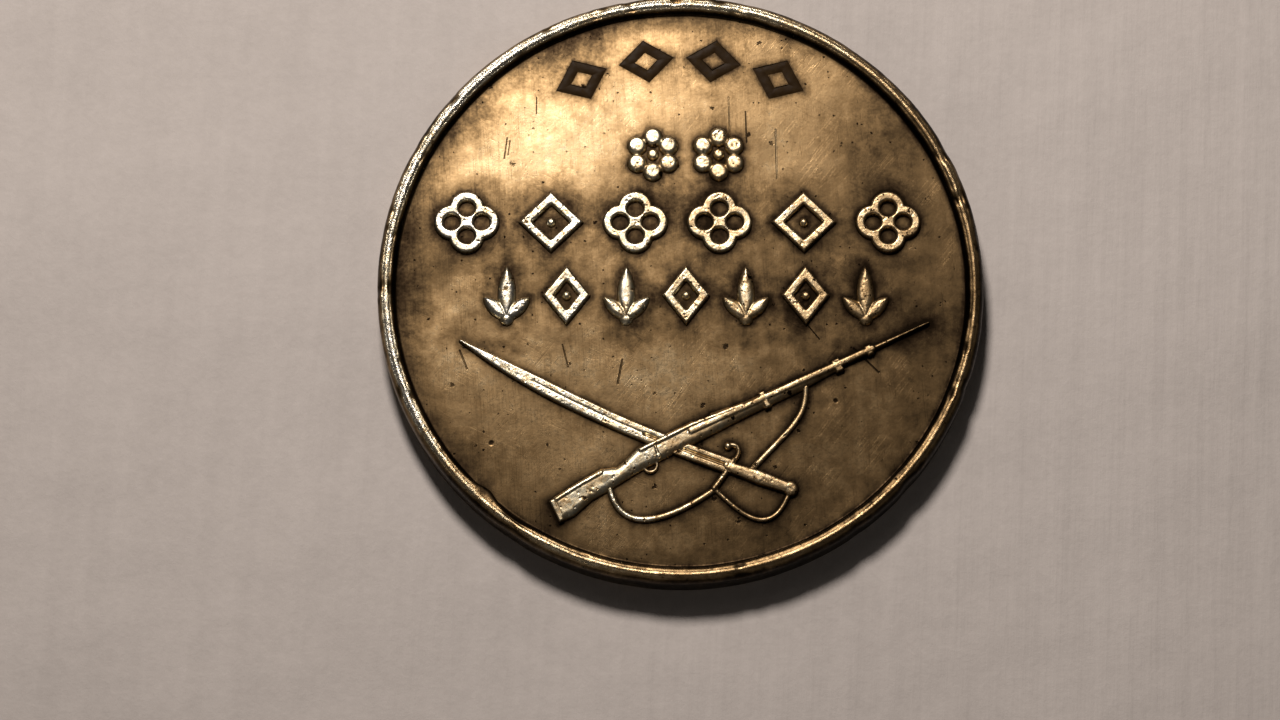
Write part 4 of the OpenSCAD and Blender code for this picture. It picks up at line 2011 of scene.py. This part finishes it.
@dataclass(frozen=True)
class Lamp:
    """A square soft light that looks at a place on the table."""

    name: str
    place: tuple[float, float, float]
    aim: tuple[float, float, float]
    size: float
    power: float
    colour: Colour = (1.0, 0.86, 0.755)

    def build(self) -> None:
        """Adds the lamp to the scene."""
        light = bpy.data.lights.new(self.name, "AREA")
        light.shape, light.size, light.energy, light.color = "DISK", self.size * MM, self.power, self.colour
        lamp = bpy.data.objects.new(self.name, light)
        place, aim = Vector(self.place) * MM, Vector(self.aim) * MM
        lamp.location = place
        lamp.rotation_euler = (aim - place).to_track_quat("-Z", "Y").to_euler()
        bpy.context.scene.collection.objects.link(lamp)


@dataclass(frozen=True)
class Stage:
    """The paper, the lamps and the camera."""

    paper_width: float = 900.0
    elevation: float = 76.5
    distance: float = 190.0
    seen_width: float = 67.0
    aim: tuple[float, float, float] = (-2.13, -4.136, 2.3)
    ambient: Colour = (0.02, 0.017, 0.0145)
    ambient_strength: float = 1.0
    lamps: tuple[Lamp, ...] = (
        Lamp("key", (-24.0, 105.0, 150.0), (0.0, 0.0, 0.0), 40.0, 0.266),
        Lamp("window", (-13.0, 57.0, 150.0), (0.0, 0.0, 0.0), 26.0, 0.0018),
        Lamp("fill", (-60.0, -190.0, 150.0), (0.0, 0.0, 0.0), 160.0, 0.012),
    )

    def build_paper(self) -> None:
        """Lays the paper under the medal."""
        half = self.paper_width / 2
        corners = np.array([[-half, -half, 0], [half, -half, 0], [half, half, 0], [-half, half, 0]], float)
        floor = Sheet(corners, [[0, 1, 2, 3]]).piece("paper")
        floor.data.materials.append(Paper().build())

    def build_camera(self) -> None:
        """Sets the camera above the medal, leaning towards its lower edge."""
        data = bpy.data.cameras.new("camera")
        data.sensor_width = 36.0
        data.lens = 36.0 * self.distance / self.seen_width
        data.clip_start, data.clip_end = 0.005, 5.0
        camera = bpy.data.objects.new("camera", data)
        tilt = math.radians(self.elevation)
        aim = Vector(self.aim) * MM
        back = Vector((0.0, -math.cos(tilt), math.sin(tilt)))
        camera.location = aim + back * self.distance * MM
        camera.rotation_euler = (-back).to_track_quat("-Z", "Y").to_euler()
        bpy.context.scene.collection.objects.link(camera)
        bpy.context.scene.camera = camera

    def build(self) -> None:
        """Makes the paper, the lamps, the room's light and the camera."""
        self.build_paper()
        self.build_camera()
        for lamp in self.lamps:
            lamp.build()
        world = bpy.data.worlds.new("room")
        bpy.context.scene.world = world
        world.use_nodes = True
        background = world.node_tree.nodes["Background"]
        background.inputs["Color"].default_value = (*self.ambient, 1.0)
        background.inputs["Strength"].default_value = self.ambient_strength
        bpy.context.scene.view_settings.view_transform = "Standard"
        LOG.info("stage: %d lamps", len(self.lamps))


def main() -> None:
    """Builds every piece of the medal and its stage."""
    logging.basicConfig(level=logging.INFO, format="%(name)s: %(message)s")
    Stage().build()
    rifle = Rifle()
    sabre = Sabre(rifle)
    hilt = sabre.hilt()
    arms = [rifle.relief(), sabre.blade(), hilt, Sling(rifle, hilt).relief()]
    reliefs = arms + Ornaments().reliefs()
    enamel = EnamelInlays()
    planchet = Planchet(tuple(reliefs), enamel)
    planchet.build(TONED_FIELD.build())
    enamel.build(planchet.level, VitreousEnamel().build())
    worn = WORN_RELIEF.build()
    for relief in reliefs:
        piece = relief.sheet(planchet.level).piece(f"{relief.node}_struck")
        dress(piece, worn, Body.MEDAL, Slot.WORN, [relief.node])
    Suspension().build()
    bpy.context.view_layer.update()


if __name__ == "__main__":
    main()
